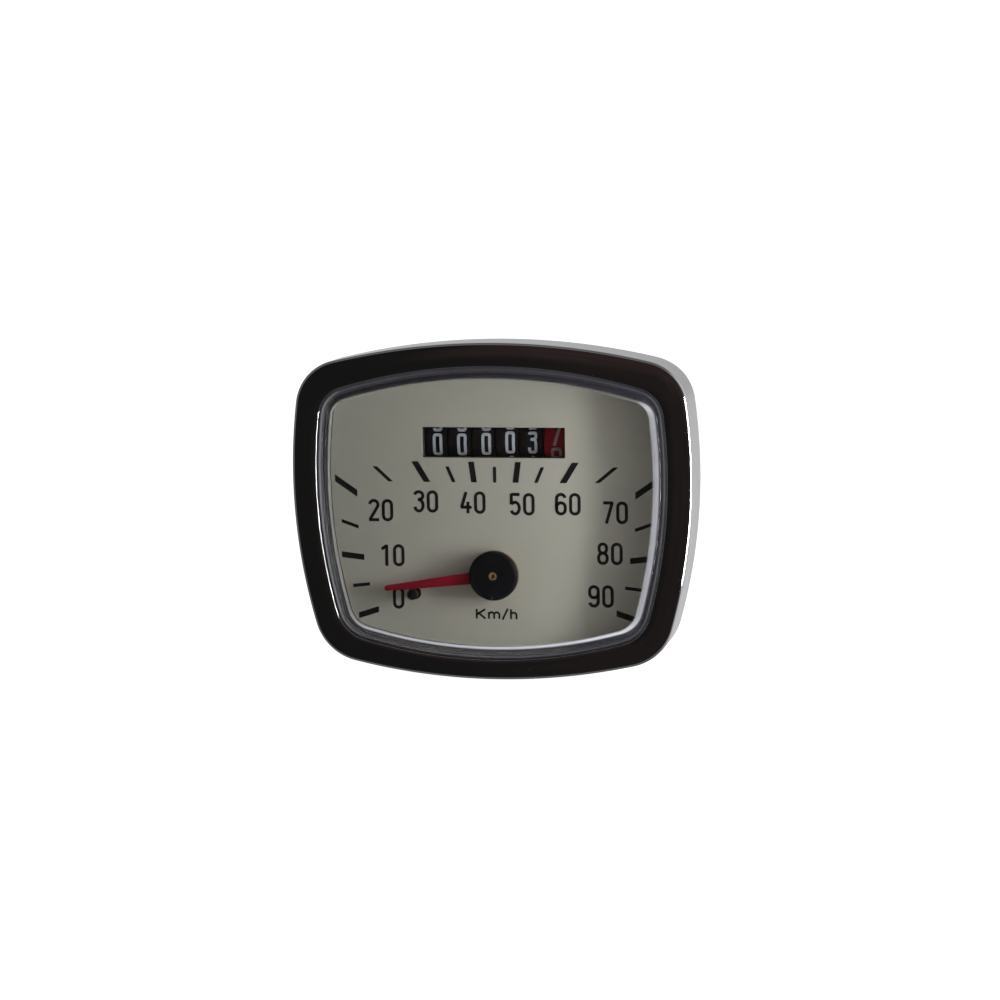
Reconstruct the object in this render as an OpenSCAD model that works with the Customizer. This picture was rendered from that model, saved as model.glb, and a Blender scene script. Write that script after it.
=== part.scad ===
// Small motor-cycle speedometer with a mileage counter, on a magnet drive.
// The dial faces -Y and +Z is up. The origin is on the back of the case, where the
// pointer axis and the middle of the two studs meet. All sizes are in millimetres.

/* [Front outline] */
// Half width of the bezel opening at its upper corners
top_half_w = 36.4; // [35:0.1:38]
// Half width of the bezel opening at its lower corners
bottom_half_w = 32.6; // [31:0.1:34]
// Height of the upper corners above the pointer axis
top_z = 38.9; // [38:0.1:41]
// Depth of the lower corners below the pointer axis
bottom_z = 12.5; // [12:0.1:15]
// Rise of the arc along the top edge
top_rise = 5.9; // [5:0.1:7]
// Rise of the arc along the bottom edge
bottom_rise = 5.3; // [5:0.1:7]
// Rise of the arc along each side
side_rise = 3; // [2:0.1:4]
// Radius of the upper corners of the opening
top_corner_r = 6.8; // [6.5:0.1:9]
// Radius of the lower corners of the opening
bottom_corner_r = 8.4; // [7:0.1:10]

/* [Bezel] */
// Width of the polished front band at the middle of the bottom
bezel_band = 4.4; // [4:0.1:5]
// How much wider the band is at the sides
side_more = 1.1; // [0:0.1:1.6]
// How much wider the band is at the middle of the top
top_more = 0.7; // [0:0.1:1.6]
// How much flatter the bezel's top and bottom edges are than those of the opening
edge_flatness = 1.26; // [1:0.01:1.4]
// Radius of the bezel's upper corners
outer_top_r = 10.5; // [10:0.1:12]
// Radius of the bezel's lower corners
outer_bottom_r = 11.5; // [11:0.1:13]
// Thickness of the bezel sheet
bezel_t = 0.6; // [0.4:0.1:0.8]
// Depth of the bezel from its lip to its rolled rear edge
bezel_depth = 12.6; // [12:0.1:14]
// Radius between the front band and the side wall
bezel_edge_r = 1.7; // [1:0.1:2]
// How far the rolled rear edge reaches inwards
crimp_reach = 3; // [2:0.1:3.4]

/* [Lens] */
// Thickness of the clear lens
lens_t = 1.6; // [1.4:0.1:2]
// How far the lens stands proud of the bezel at its shoulder
lens_proud = 0.2; // [0:0.1:1]
// Radius round the lens shoulder
lens_shoulder_r = 2.2; // [1.8:0.1:3]
// Rise of the lens from its shoulder to its middle
lens_crown = 1.2; // [0.4:0.1:2]
// Width of the lens flange under the bezel lip
lens_flange_w = 2.4; // [2:0.1:2.8]
// Thickness of the lens flange
lens_flange_t = 1.5; // [1.2:0.1:1.8]
// Thickness of the rubber ring behind the lens flange
seal_t = 1; // [0.8:0.1:1.2]

/* [Dial] */
// Depth of the dial's front behind the bezel lip
dial_depth = 5.2; // [4.8:0.1:6]
// Thickness of the dial
dial_t = 1.6; // [1.2:0.1:2]
// Height of the counter window's middle above the pointer axis
window_z = 28.3; // [27.5:0.1:29]
// Height of the counter window
window_h = 6.3; // [5.6:0.1:7]
// Radius of the hole round the pointer spindle
dial_hole_r = 2; // [1.6:0.1:2.4]

/* [Case] */
// Depth of the whole case behind the bezel lip
body_depth = 38; // [38:0.1:44]
// Wall of the case round the dial
case_rim_t = 1.2; // [1:0.1:1.5]
// Wall of the case behind the bezel
case_wall = 1.3; // [1:0.1:1.6]
// Thickness of the case back
case_back_t = 1.6; // [1.4:0.1:2]
// How far the case steps in behind the bezel, from the line of the opening
case_inset = 1; // [0.6:0.1:1.4]
// Radius round the rear edge of the case
rear_edge_r = 3.5; // [2.5:0.1:4]
// Thickness of the mounting gasket
gasket_t = 2; // [1.6:0.1:4]
// How far the mounting gasket's edge lies inside the bezel's
gasket_inset = 0.3; // [0:0.1:1]

/* [Fixings and cable nose] */
// Distance between the two studs
stud_pitch = 44; // [40:0.5:48]
// Radius of the studs
stud_r = 2; // [1.5:0.1:2.5]
// Length of the studs behind the case
stud_len = 14; // [8:0.5:20]
// Outer radius of the threaded cable nose
nose_r = 6; // [5.5:0.1:6.5]
// Length of the cable nose behind the case
nose_len = 13; // [11:0.5:18]
// Radius of the mouth that takes the cable's end fitting
ferrule_r = 3.6; // [3.4:0.1:4]
// Depth of the mouth
ferrule_depth = 5; // [4:0.5:6]
// Width of the square hole that takes the cable core
square_w = 2.8; // [2.5:0.1:3]

/* [Pointer] */
// Length of the pointer from its axis to its tip
needle_len = 24.2; // [20:0.1:26]
// Width of the pointer at the hub
needle_root_w = 2.8; // [2.2:0.1:3.2]
// Width of the pointer at its tip
needle_tip_w = 1.2; // [0.8:0.1:1.6]
// Thickness of the pointer
needle_t = 0.5; // [0.3:0.1:0.8]
// Radius of the black cap on the hub
cap_r = 5.3; // [4.5:0.1:6]
// Thickness of the black cap
cap_t = 1.6; // [1.4:0.1:2]
// Gap between the dial and the cap
cap_lift = 1.25; // [1.2:0.05:1.6]
// Radius of the pointer spindle
spindle_r = 0.5; // [0.4:0.05:0.6]
// Distance of the stop pin from the pointer axis
stop_at = 18.3; // [16:0.1:20]
// Angle of the stop pin below the horizontal
stop_angle = 13.6; // [10:0.1:20]
// Radius of the stop pin
stop_r = 1.1; // [0.8:0.1:1.3]
// Angle of the 90 mark below the horizontal on the right
full_scale_angle = 17; // [10:0.5:30]

/* [Magnet drive] */
// Radius of the magnet
magnet_r = 8; // [6:0.1:8.2]
// Thickness of the magnet
magnet_t = 4.8; // [4:0.1:5]
// Air gap between magnet and cup, and between cup and flux ring
air_gap = 0.6; // [0.4:0.05:0.7]
// Wall of the aluminium cup
cup_t = 0.4; // [0.3:0.05:0.5]
// Wall of the flux ring
flux_t = 1.3; // [1:0.1:1.4]
// Wall of the bowl that holds the flux ring
bowl_t = 1.4; // [1:0.1:1.6]
// Radius of the drive spindle
drive_r = 1.57; // [1.4:0.01:1.6]
// Wall of the bronze bushes
bush_t = 1.4; // [1.2:0.1:1.5]

/* [Counter] */
// Radius of the number drums
drum_r = 8.3; // [8:0.1:8.5]
// Distance from one drum to the next
drum_pitch = 5.2; // [5:0.05:5.3]
// Width of a drum
drum_w = 4.6; // [4.4:0.05:4.65]
// Wall of a drum
drum_wall = 1; // [0.8:0.1:1.1]
// Radius of the fixed drum shaft
shaft_r = 1; // [0.8:0.05:1.05]
// Thickness of the plates between the drums
carrier_t = 0.3; // [0.2:0.05:0.35]
// Gap between the back of the dial and the drums
drum_clear = 0.5; // [0.3:0.1:1]
// Thickness of the counter's sheet bracket
bracket_t = 1; // [0.8:0.1:1.2]

/* [Dial lamp] */
// Distance of the lamp to the side of the pointer axis
lamp_x = 23; // [21:0.5:25]
// Height of the lamp above the pointer axis
lamp_z = 13; // [12:0.5:15]
// Radius of the lamp holder
lamp_r = 4.85; // [4.5:0.05:5.2]
// Length of the contact blade behind the holder
blade_len = 8; // [6:0.5:10]

/* [Hidden] */
$fn = 64;

fit = 0.3;          // clearance between loose curved pieces
push_fit = 0.05;    // clearance between pieces pushed together by hand
press = 0.01;       // clearance left between pressed pieces
running = 0.04;     // radial clearance of a shaft in its bearing
eps = 0.01;         // overlap of shapes that join, and overshoot of cuts
tooth_gap = 0.09;   // backlash on each flank of the fine teeth

// Plane that lies d behind the bezel lip
function dep(d) = d - body_depth;
function unit(a) = [cos(a), sin(a)];
function bearing(c, p) = atan2(p[1] - c[1], p[0] - c[0]);
function mid(a, b) = (a + b) / 2;

// Front outline: four shallow arcs joined by round corners, mirrored about x = 0.
top_right = [top_half_w, top_z];
bottom_right = [bottom_half_w, -bottom_z];
function arc_r(a, b, rise) = (pow(norm(b - a), 2) / 4 + rise * rise) / (2 * rise);
function arc_c(a, b, rise) =
    let (d = b - a, out = [d[1], -d[0]] / norm(d))
    mid(a, b) + out * (rise - arc_r(a, b, rise));
side_c = arc_c(bottom_right, top_right, side_rise);
side_r = arc_r(bottom_right, top_right, side_rise);
top_left = [-top_half_w, top_z];
bottom_left = [-bottom_half_w, -bottom_z];
top_c = arc_c(top_right, top_left, top_rise);
top_r = arc_r(top_right, top_left, top_rise);
bottom_c = arc_c(bottom_left, bottom_right, bottom_rise);
bottom_r = arc_r(bottom_left, bottom_right, bottom_rise);

// Centre of the round corner of radius r that touches two arcs, near the point by
function corner_c(c1, r1, c2, r2, r, by) =
    let (d = norm(c2 - c1),
         e = (c2 - c1) / d,
         x = (pow(r1 - r, 2) - pow(r2 - r, 2) + d * d) / (2 * d),
         h = sqrt(pow(r1 - r, 2) - x * x),
         p = c1 + e * x + [-e[1], e[0]] * h,
         q = c1 + e * x - [-e[1], e[0]] * h)
    norm(p - by) < norm(q - by) ? p : q;
n_side = 7;
n_top = 9;
n_corner = 8;
function arc(c, r, a0, a1, n) = [for (i = [0 : n - 1]) c + r * unit(a0 + (a1 - a0) * i / n)];
function flip(p) = [-p[0], p[1]];

// Closed shape of three arcs and their round corners, moved outwards by off, as points from the
// lower right anticlockwise. The arcs are [centre, radius] of the side, the top and the bottom.
function shape(side, top, bottom, r_top, r_low, off) =
    let (t = corner_c(side[0], side[1], top[0], top[1], r_top, top_right),
         b = corner_c(side[0], side[1], bottom[0], bottom[1], r_low, bottom_right),
         a1 = bearing(side[0], b),
         a2 = bearing(side[0], t),
         a3 = bearing(top[0], t),
         a4 = bearing(bottom[0], b))
    concat(
        arc(side[0], side[1] + off, a1, a2, n_side),
        arc(t, r_top + off, a2, a3, n_corner),
        arc(top[0], top[1] + off, a3, 180 - a3, n_top),
        arc(flip(t), r_top + off, 180 - a3, 180 - a2, n_corner),
        arc(flip(side[0]), side[1] + off, 180 - a2, 180 - a1, n_side),
        arc(flip(b), r_low + off, 180 - a1, 180 - a4, n_corner),
        arc(bottom[0], bottom[1] + off, 180 - a4, 360 + a4, n_top),
        arc(b, r_low + off, 360 + a4, 360 + a1, n_corner));
// The opening, and the bezel's outer edge with its flatter top and bottom
function outline(off) =
    shape([side_c, side_r], [top_c, top_r], [bottom_c, bottom_r], top_corner_r, bottom_corner_r, off);
outer_top_r0 = (top_r + bezel_band + top_more) * edge_flatness;
outer_bottom_r0 = (bottom_r + bezel_band) * edge_flatness;
outer_top_c = [0, top_z + top_rise + bezel_band + top_more - outer_top_r0];
outer_bottom_c = [0, outer_bottom_r0 - bottom_z - bottom_rise - bezel_band];
function bezel_outline(off) =
    shape([side_c, side_r + bezel_band + side_more], [outer_top_c, outer_top_r0],
          [outer_bottom_c, outer_bottom_r0], outer_top_r, outer_bottom_r, off);
function bezel_ring(off, y) = [for (p = bezel_outline(off)) [p[0], y, p[1]]];
function ring(off, y) = [for (p = outline(off)) [p[0], y, p[1]]];

// The outline shrunk by the factor s towards the middle of the opening
outline_mid = [0, mid(top_z + top_rise, -bottom_z - bottom_rise)];
function inner_ring(off, s, y) =
    [for (p = outline(off)) let (q = outline_mid + s * (p - outline_mid)) [q[0], y, q[1]]];

// Solid skin over a row of rings, from the front to the back of its outside.
// A closed row joins its last ring to its first, and an open one has two end faces.
module skin(rings, closed = false) {
    n = len(rings[0]);
    rows = len(rings);
    last = closed ? rows - 1 : rows - 2;
    sides = [for (k = [0 : last], i = [0 : n - 1])
        let (a = k * n, b = ((k + 1) % rows) * n, j = (i + 1) % n)
        each [[a + i, a + j, b + j], [a + i, b + j, b + i]]];
    ends = closed ? [] : [[for (i = [n - 1 : -1 : 0]) i], [for (i = [0 : n - 1]) (rows - 1) * n + i]];
    polyhedron(points = [for (r = rings) each r], faces = concat(sides, ends), convexity = 6);
}

// Flat shape drawn as seen from the front, standing between two depths
module plate(y_front, y_back) {
    translate([0, y_back, 0])
        rotate([90, 0, 0])
            linear_extrude(y_back - y_front, convexity = 6) children();
}
module outline_plate(off, y_front, y_back) {
    plate(y_front, y_back) polygon(outline(off));
}
// Round bar along Y
module rod(y_front, y_back, r) {
    translate([0, y_back, 0])
        rotate([90, 0, 0])
            cylinder(h = y_back - y_front, r = r);
}
module tube(y_front, y_back, r_out, r_in) {
    difference() {
        rod(y_front, y_back, r_out);
        rod(y_front - eps, y_back + eps, r_in);
    }
}
// Turned shape about Y, from points [radius, y]
module turned(points) {
    rotate([-90, 0, 0])
        rotate_extrude()
            polygon(points);
}
// Round bar along X
module bar(x_left, x_right, r) {
    translate([x_left, 0, 0])
        rotate([0, 90, 0])
            cylinder(h = x_right - x_left, r = r);
}
// Place at an angle and a distance round the pointer axis, as seen from the front
module polar(angle, distance) {
    p = distance * unit(angle);
    translate([p[0], 0, p[1]]) children();
}

// Section through the front: each plane takes its place from the one before
lip_y = dep(0);
lens_front_y = dep(-lens_proud);
flange_front_y = dep(bezel_t);
flange_back_y = flange_front_y + lens_flange_t;
rim_y = flange_back_y + seal_t;
dial_y = dep(dial_depth);
dial_back_y = dial_y + dial_t;
shoulder_y = dep(bezel_depth - bezel_t);
bezel_back_y = dep(bezel_depth);
gasket_back_y = bezel_back_y + gasket_t;
floor_y = -case_back_t;
rim_off = bezel_band - bezel_t - fit;
seat_off = rim_off - case_rim_t;
body_off = -case_inset;
cavity_off = body_off - case_wall;

module bezel() {
    n_edge = 5;
    lip_r = bezel_t / 2;
    wall_end = bezel_depth - bezel_t;
    lip = [[0, lip_r], [lip_r * 0.3, lip_r * 0.3], [lip_r, 0]];
    edge = [for (i = [0 : n_edge])
        let (a = 90 * i / n_edge) [bezel_edge_r * (sin(a) - 1), bezel_edge_r * (1 - cos(a))]];
    roll = [[0, bezel_depth - bezel_t / 2], [-bezel_t / 2, bezel_depth],
            [-crimp_reach, bezel_depth], [-crimp_reach, wall_end]];
    inside = [[-bezel_t, wall_end], [-bezel_t, bezel_edge_r], [-bezel_edge_r, bezel_t]];
    color("silver")
        skin(concat(
            [for (p = lip) ring(p[0], dep(p[1]))],
            [for (p = concat(edge, roll, inside)) bezel_ring(p[0], dep(p[1]))],
            [ring(0, dep(bezel_t))]), closed = true);
}

// Clear cup: domed front, round shoulder, flange under the lip, skirt down to the dial
lens_off = -fit;
skirt_y = dial_y - 0.1;
ceiling_y = lens_front_y + lens_t;
function dome(y, s) = y - lens_crown * (1 - s * s);
module lens() {
    n_dome = 4;
    n_round = 4;
    in_r = lens_t / 2;
    dome_off = lens_off - lens_shoulder_r;
    in_off = lens_off - lens_t;
    outer_dome = [for (i = [0 : n_dome])
        let (s = 0.02 + 0.98 * i / n_dome)
        inner_ring(dome_off, s, dome(lens_front_y, s))];
    turn = acos(1 - (lens_proud + bezel_t) / lens_shoulder_r);
    shoulder = [for (i = [1 : n_round])
        let (a = turn * i / n_round)
        ring(dome_off + lens_shoulder_r * sin(a), lens_front_y + lens_shoulder_r * (1 - cos(a)))];
    flange = [ring(lens_off + lens_flange_w, flange_front_y),
              ring(lens_off + lens_flange_w, flange_back_y),
              ring(lens_off, flange_back_y)];
    skirt = [ring(lens_off, skirt_y), ring(in_off, skirt_y)];
    inner_shoulder = [for (i = [0 : 2])
        let (a = 45 * i) ring(in_off - in_r * (1 - cos(a)), ceiling_y + in_r * (1 - sin(a)))];
    inner_dome = [for (i = [n_dome - 1 : -1 : 0])
        let (s = 0.02 + 0.98 * i / n_dome)
        inner_ring(in_off - in_r, s, dome(ceiling_y, s))];
    color("white", 0.35)
        skin(concat(outer_dome, shoulder, flange, skirt, inner_shoulder, inner_dome));
}

module lens_seal() {
    color("dimgray")
        difference() {
            outline_plate(rim_off - push_fit, flange_back_y, rim_y);
            outline_plate(lens_off + fit, flange_back_y - eps, rim_y + eps);
        }
}

// Counter window as wide as the drums, and the drums' places
drum_count = 6;
stack_w = drum_count * drum_pitch;
window_w = stack_w - 0.5;
function drum_x(i) = stack_w / 2 - drum_pitch * (i + 0.5);
function carrier_x(i) = drum_x(i) - drum_pitch / 2;
stop_place = stop_at * unit(180 + stop_angle);

module dial() {
    bevel = 0.4;
    color("ivory")
        difference() {
            outline_plate(seat_off - 0.2, dial_y, dial_back_y);
            translate([-window_w / 2, dial_y - eps, window_z - window_h / 2])
                cube([window_w, dial_t + 2 * eps, window_h]);
            translate([0, dial_y, window_z])
                rotate([90, 0, 0])
                    window_bevel(bevel);
            rod(dial_y - eps, dial_back_y + eps, dial_hole_r);
            translate([stop_place[0], 0, stop_place[1]])
                rod(dial_y - eps, dial_back_y + eps, stop_r + fit);
        }
}
// Sloped edge round the window, cut down to its full size at the depth bevel
module window_bevel(bevel) {
    function corner(w, h, z) = [[-w, -h, z], [w, -h, z], [w, h, z], [-w, h, z]];
    w = window_w / 2;
    h = window_h / 2;
    polyhedron(points = concat(corner(w + bevel + eps, h + bevel + eps, eps), corner(w, h, -bevel)),
               faces = [[3, 2, 1, 0], [4, 5, 6, 7], [0, 1, 5, 4], [1, 2, 6, 5], [2, 3, 7, 6], [3, 0, 4, 7]]);
}

// Case: a rim inside the bezel, a shoulder that the bezel is rolled over, and a deep body
frame_screw_r = 1.5;
frame_screw_at = 10;
pilot_r = nose_r + 0.6;
stud_neck_r = stud_r + 0.3;
frame_screw_angles = [60, 240];
lamp_place = [-lamp_x, lamp_z];
module case() {
    n_round = 4;
    body_back = -rear_edge_r;
    corner = [for (i = [0 : n_round])
        let (a = 90 * i / n_round)
        ring(body_off - rear_edge_r * (1 - cos(a)), body_back + rear_edge_r * sin(a))];
    color("darkgray")
        difference() {
            skin(concat(
                [bezel_ring(-bezel_t - fit, rim_y), bezel_ring(-bezel_t - fit, shoulder_y)],
                [ring(body_off, shoulder_y)], corner));
            outline_plate(seat_off, rim_y - eps, dial_back_y);
            outline_plate(cavity_off, dial_back_y - eps, floor_y - case_wall);
            outline_plate(cavity_off - case_wall, floor_y - case_wall - eps, floor_y);
            rod(floor_y - eps, eps, pilot_r + push_fit);
            for (x = [-1, 1])
                translate([x * stud_pitch / 2, 0, 0])
                    rod(floor_y - eps, eps, stud_neck_r + press);
            for (a = frame_screw_angles)
                polar(a, frame_screw_at) rod(floor_y - eps, eps, frame_screw_r + push_fit);
            translate([lamp_place[0], 0, lamp_place[1]])
                rod(floor_y - eps, eps, lamp_r + push_fit);
        }
}

module mounting_gasket() {
    color("black")
        difference() {
            plate(bezel_back_y, gasket_back_y) polygon(bezel_outline(-gasket_inset));
            outline_plate(body_off + push_fit, bezel_back_y - eps, gasket_back_y + eps);
        }
}

// Two studs, each with a flat round head inside the case back
module studs() {
    head_r = 2 * stud_r;
    head_t = 1;
    chamfer = 0.4;
    color("silver")
        for (x = [-1, 1])
            translate([x * stud_pitch / 2, 0, 0])
                turned([[0, floor_y - head_t], [head_r, floor_y - head_t], [head_r, floor_y], [stud_neck_r, floor_y],
                        [stud_neck_r, 0], [stud_r, 0], [stud_r, stud_len - chamfer], [stud_r - chamfer, stud_len], [0, stud_len]]);
}

// Movement: planes of the magnet drive, from the dial backwards
bridge_y = dial_back_y + 1.6;
bridge_t = 1.2;
bridge_bite = 3.5;
pivot_in = 3;
bridge_back_y = bridge_y + bridge_t;
cup_y = bridge_back_y + 0.7;
magnet_y = cup_y + cup_t + 1.1;
magnet_back_y = magnet_y + magnet_t;
cup_in_r = magnet_r + air_gap;
cup_r = cup_in_r + cup_t;
flux_in_r = cup_r + air_gap;
flux_r = flux_in_r + flux_t;
bowl_r = flux_r + bowl_t;
bowl_floor_y = magnet_back_y + 0.6;
bowl_floor_t = 1.2;
bowl_back_y = bowl_floor_y + bowl_floor_t;
base_t = 2.8;
base_y = floor_y - base_t;
bush_in_r = drive_r + running;
bush_r = bush_in_r + bush_t;
head_y = 3;
mouth_y = nose_len - ferrule_depth;
ear_angles = [20, 200];
ear_at = bowl_r + 1.8;
ear_r = 2.2;
column_angles = [100, 200, 300];
column_at = 10.4;
column_r = 1.8;

// Counter drive: a worm on the drive spindle turns a wheel on a slanting cross shaft,
// and a second worm near its top turns the wheel beside the drums.
drum_axis_y = dial_back_y + drum_clear + drum_r;
worm1_m = 0.4;
wheel1_teeth = 28;
worm1_r = 2.4;
wheel1_r = wheel1_teeth * worm1_m / 2;
cross_off = worm1_r + wheel1_r;
worm2_r = 2;
wheel2_m = 0.3;
wheel2_teeth = 50;
wheel2_r = wheel2_teeth * wheel2_m / 2;
wheel2_x = stack_w / 2 + 2.5;
cross_y = drum_axis_y + wheel2_r + worm2_r;
cross_tilt = acos(cross_off / norm([wheel2_x, window_z])) - atan2(window_z, wheel2_x);
worm2_t = wheel2_x * sin(cross_tilt) + window_z * cos(cross_tilt);
wheel1_w = 1.6;
wheel_room = 0.3;
nose_chamfer = 0.6;
foot_t = -6;
head_t_top = worm2_t + 7.2;
cross_r = 1;
journal_r = 0.75;

// Frame of the cross shaft: local Z runs up the shaft from the wheel's middle,
// local X points away from the drive spindle and local Y points to the back.
module on_cross_shaft() {
    translate([0, cross_y, 0])
        rotate([0, cross_tilt, 0])
            translate([cross_off, 0, 0]) children();
}

bracket_gap = 0.9;
bracket_side = 0.8;
bracket_wheel_side = 3.7;
bracket_below = 7.3;
bracket_above = 7.7;
bracket_screw_below = 4.8;
bracket_screw_above = 5.2;
bracket_y = cross_y + worm2_r + bracket_gap;
bracket_back_y = bracket_y + bracket_t;
bracket_left_x = -stack_w / 2 - bracket_side;
bracket_right_x = wheel2_x + bracket_wheel_side;
bracket_low_z = window_z - bracket_below;
bracket_high_z = window_z + bracket_above;
bracket_screw_z = [window_z - bracket_screw_below, window_z + bracket_screw_above];
bracket_screw_r = 1;
arm_y = max(base_y - 2.2, bracket_back_y);
bracket_bite = 2.5;
bracket_hole_y = max(arm_y + 1.5, bracket_back_y + bracket_bite + wheel_room);
arm_half_w = 6;

module frame() {
    color("lightslategray")
        difference() {
            union() {
                rod(base_y, floor_y, bowl_r);
                rod(bridge_back_y, bowl_back_y, bowl_r);
                for (a = ear_angles)
                    polar(a, ear_at) rod(bridge_back_y, bowl_back_y, ear_r);
                for (a = column_angles)
                    polar(a, column_at) rod(bowl_back_y - eps, base_y + eps, column_r);
                translate([-arm_half_w, arm_y, 0])
                    cube([2 * arm_half_w, base_y + 1 - arm_y, bracket_high_z - 1]);
                for (z = bracket_screw_z)
                    translate([0, 0, z]) rod(bracket_back_y, arm_y + eps, 2.2);
                on_cross_shaft() translate([0, 0, foot_t - 1]) cylinder(h = 3, r = column_r);
            }
            rod(bridge_back_y - eps, bowl_floor_y, flux_r + press);
            rod(bowl_floor_y - eps, bowl_back_y + eps, bush_r + press);
            rod(base_y - eps, floor_y + eps, pilot_r + press);
            translate([-arm_half_w - eps, arm_y - eps, -eps])
                cube([2 * arm_half_w + 2 * eps, base_y - arm_y + eps, bush_r + 3]);
            for (a = ear_angles)
                polar(a, ear_at) rod(bridge_back_y - eps, bridge_back_y + bridge_bite + 0.5, bridge_screw_r + press);
            for (a = frame_screw_angles)
                polar(a, frame_screw_at) rod(base_y - eps, floor_y + eps, frame_screw_r + press);
            for (z = bracket_screw_z)
                translate([0, 0, z]) rod(bracket_back_y - eps, bracket_hole_y, bracket_screw_r + press);
            on_cross_shaft() translate([0, 0, foot_t]) cylinder(h = 5, r = journal_r + running);
            on_cross_shaft() cylinder(h = wheel1_w + 2 * wheel_room, r = wheel1_r + worm1_m + wheel_room, center = true);
        }
}

// Threaded nose: a turned sleeve pressed into the frame's base from behind. It holds
// the rear bush, and its mouth takes the end of the cable's sheath.
module threaded_nose() {
    color("silver")
        turned([[bush_r + press, base_y], [pilot_r, base_y], [pilot_r, 0], [nose_r, 0], [nose_r, nose_len - nose_chamfer],
                [nose_r - nose_chamfer, nose_len], [ferrule_r, nose_len], [ferrule_r, mouth_y], [bush_r + press, mouth_y]]);
}

// Cheese-head screw along Y. Its head is towards the front when side is -1.
module screw(r, shank, side) {
    head_h = 1.2 * r;
    head_r = 1.9 * r;
    slot = 0.4 * r;
    rotate([side < 0 ? 90 : -90, 0, 0])
        difference() {
            rotate_extrude()
                polygon([[0, -shank], [r, -shank], [r, 0], [head_r, 0], [head_r, head_h - 0.2],
                         [head_r - 0.2, head_h], [0, head_h]]);
            translate([-head_r, -slot / 2, head_h - slot]) cube([2 * head_r, slot, head_h]);
        }
}

module frame_screws() {
    color("gainsboro")
        for (a = frame_screw_angles)
            polar(a, frame_screw_at) screw(frame_screw_r, case_back_t + base_t, 1);
}

module rear_bush() {
    color("darkgoldenrod") tube(base_y, head_y, bush_r, bush_in_r);
}

module front_bush() {
    color("darkgoldenrod") tube(bowl_floor_y, bowl_back_y + 0.5, bush_r, bush_in_r);
}

module flux_ring() {
    color("slategray") tube(magnet_y - 1.2, bowl_floor_y, flux_r, flux_in_r);
}

// Bridge: a brass bar over the bowl, with a longer arm that carries the stop pin
bridge_screw_r = 1;
bearing_r = 1.4;
bridge_half_w = 3.6;
spring_stud_at = 7.4;
spring_stud_angle = 110;
module bridge() {
    color("goldenrod")
        difference() {
            union() {
                plate(bridge_y, bridge_back_y) {
                    rotate(ear_angles[0]) square([2 * ear_at, 2 * bridge_half_w], center = true);
                    for (a = ear_angles)
                        translate(ear_at * unit(a)) circle(r = bridge_half_w + 0.4);
                    circle(r = spring_stud_at + 1.2);
                    rotate(180 + stop_angle) translate([0, -1.8]) square([stop_at, 3.6]);
                    translate(stop_place) circle(r = 2.2);
                }
            }
            rod(bridge_y - eps, bridge_back_y + eps, bearing_r + press);
            for (a = ear_angles)
                polar(a, ear_at) rod(bridge_y - eps, bridge_back_y + eps, bridge_screw_r + push_fit);
            translate([stop_place[0], 0, stop_place[1]])
                rod(bridge_y - eps, bridge_back_y + eps, stop_r * 0.7 + press);
            polar(spring_stud_angle, spring_stud_at)
                rod(bridge_y - eps, bridge_back_y + eps, spring_stud_r + press);
        }
}

module bridge_screws() {
    color("gainsboro")
        for (a = ear_angles)
            polar(a, ear_at) translate([0, bridge_y, 0]) screw(bridge_screw_r, bridge_t + bridge_bite, -1);
}

module front_bearing() {
    color("gold") tube(bridge_y - 0.3, bridge_back_y + 0.2, bearing_r, spindle_r + running);
}

// Stop pin: a foot in the bridge, a thick shank through the dial and a round nose
module stop_pin() {
    nose_at = dial_y - 2.7;
    tip = max(dial_y - 4, dome(ceiling_y, 0.65) + fit);
    tip_r = 0.72;
    round_off = [for (i = [0 : 6]) let (a = 15 * i) [tip_r * sin(a), tip + tip_r * (1 - cos(a))]];
    color("darkslategray")
        translate([stop_place[0], 0, stop_place[1]])
            turned(concat(round_off, [[tip_r, nose_at - 0.3], [stop_r, nose_at], [stop_r, bridge_y],
                                      [stop_r * 0.7, bridge_y], [stop_r * 0.7, bridge_back_y], [0, bridge_back_y]]));
}

// Hairspring: one unbroken flat strip wound as a spiral from the collet to its stud
collet_r = 1.3;
collet_y = dial_back_y + 0.3;
collet_t = 0.9;
spring_t = 0.2;
spring_w = 0.6;
spring_turns = 5;
spring_steps = 24;
spring_stud_r = 0.6;
spring_r0 = collet_r + spring_t / 2 + press;
spring_r1 = spring_stud_at - spring_stud_r - spring_t / 2 - press;
spring_y = collet_y + 0.15;
spring_n = spring_turns * spring_steps;
function spring_angle(i) = spring_stud_angle - 360 * spring_turns * (1 - i / spring_n);
function spring_point(i, dr) = (spring_r0 + (spring_r1 - spring_r0) * i / spring_n + dr) * unit(spring_angle(i));
spring_gap = min([for (i = [0 : spring_n - spring_steps])
    norm(spring_point(i + spring_steps, 0)) - norm(spring_point(i, 0)) - spring_t]);
module hairspring() {
    h = spring_t / 2;
    y0 = spring_y;
    y1 = spring_y + spring_w;
    points = [for (i = [0 : spring_n])
        let (p = spring_point(i, -h), q = spring_point(i, h))
        each [[p[0], y0, p[1]], [q[0], y0, q[1]], [q[0], y1, q[1]], [p[0], y1, p[1]]]];
    sides = [for (i = [0 : spring_n - 1], k = [0 : 3])
        let (a = 4 * i + k, b = 4 * i + (k + 1) % 4)
        each [[a, b + 4, b], [a, a + 4, b + 4]]];
    end = 4 * spring_n;
    echo(least_gap_between_turns = spring_gap);
    color("darkgoldenrod")
        polyhedron(points = points, faces = concat([[0, 1, 2, 3], [end + 3, end + 2, end + 1, end]], sides),
                   convexity = 10);
}

module spring_stud() {
    color("gold")
        polar(spring_stud_angle, spring_stud_at) rod(collet_y, bridge_back_y, spring_stud_r);
}

module spring_collet() {
    color("gold") tube(collet_y, collet_y + collet_t, collet_r, spindle_r + press);
}

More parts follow.
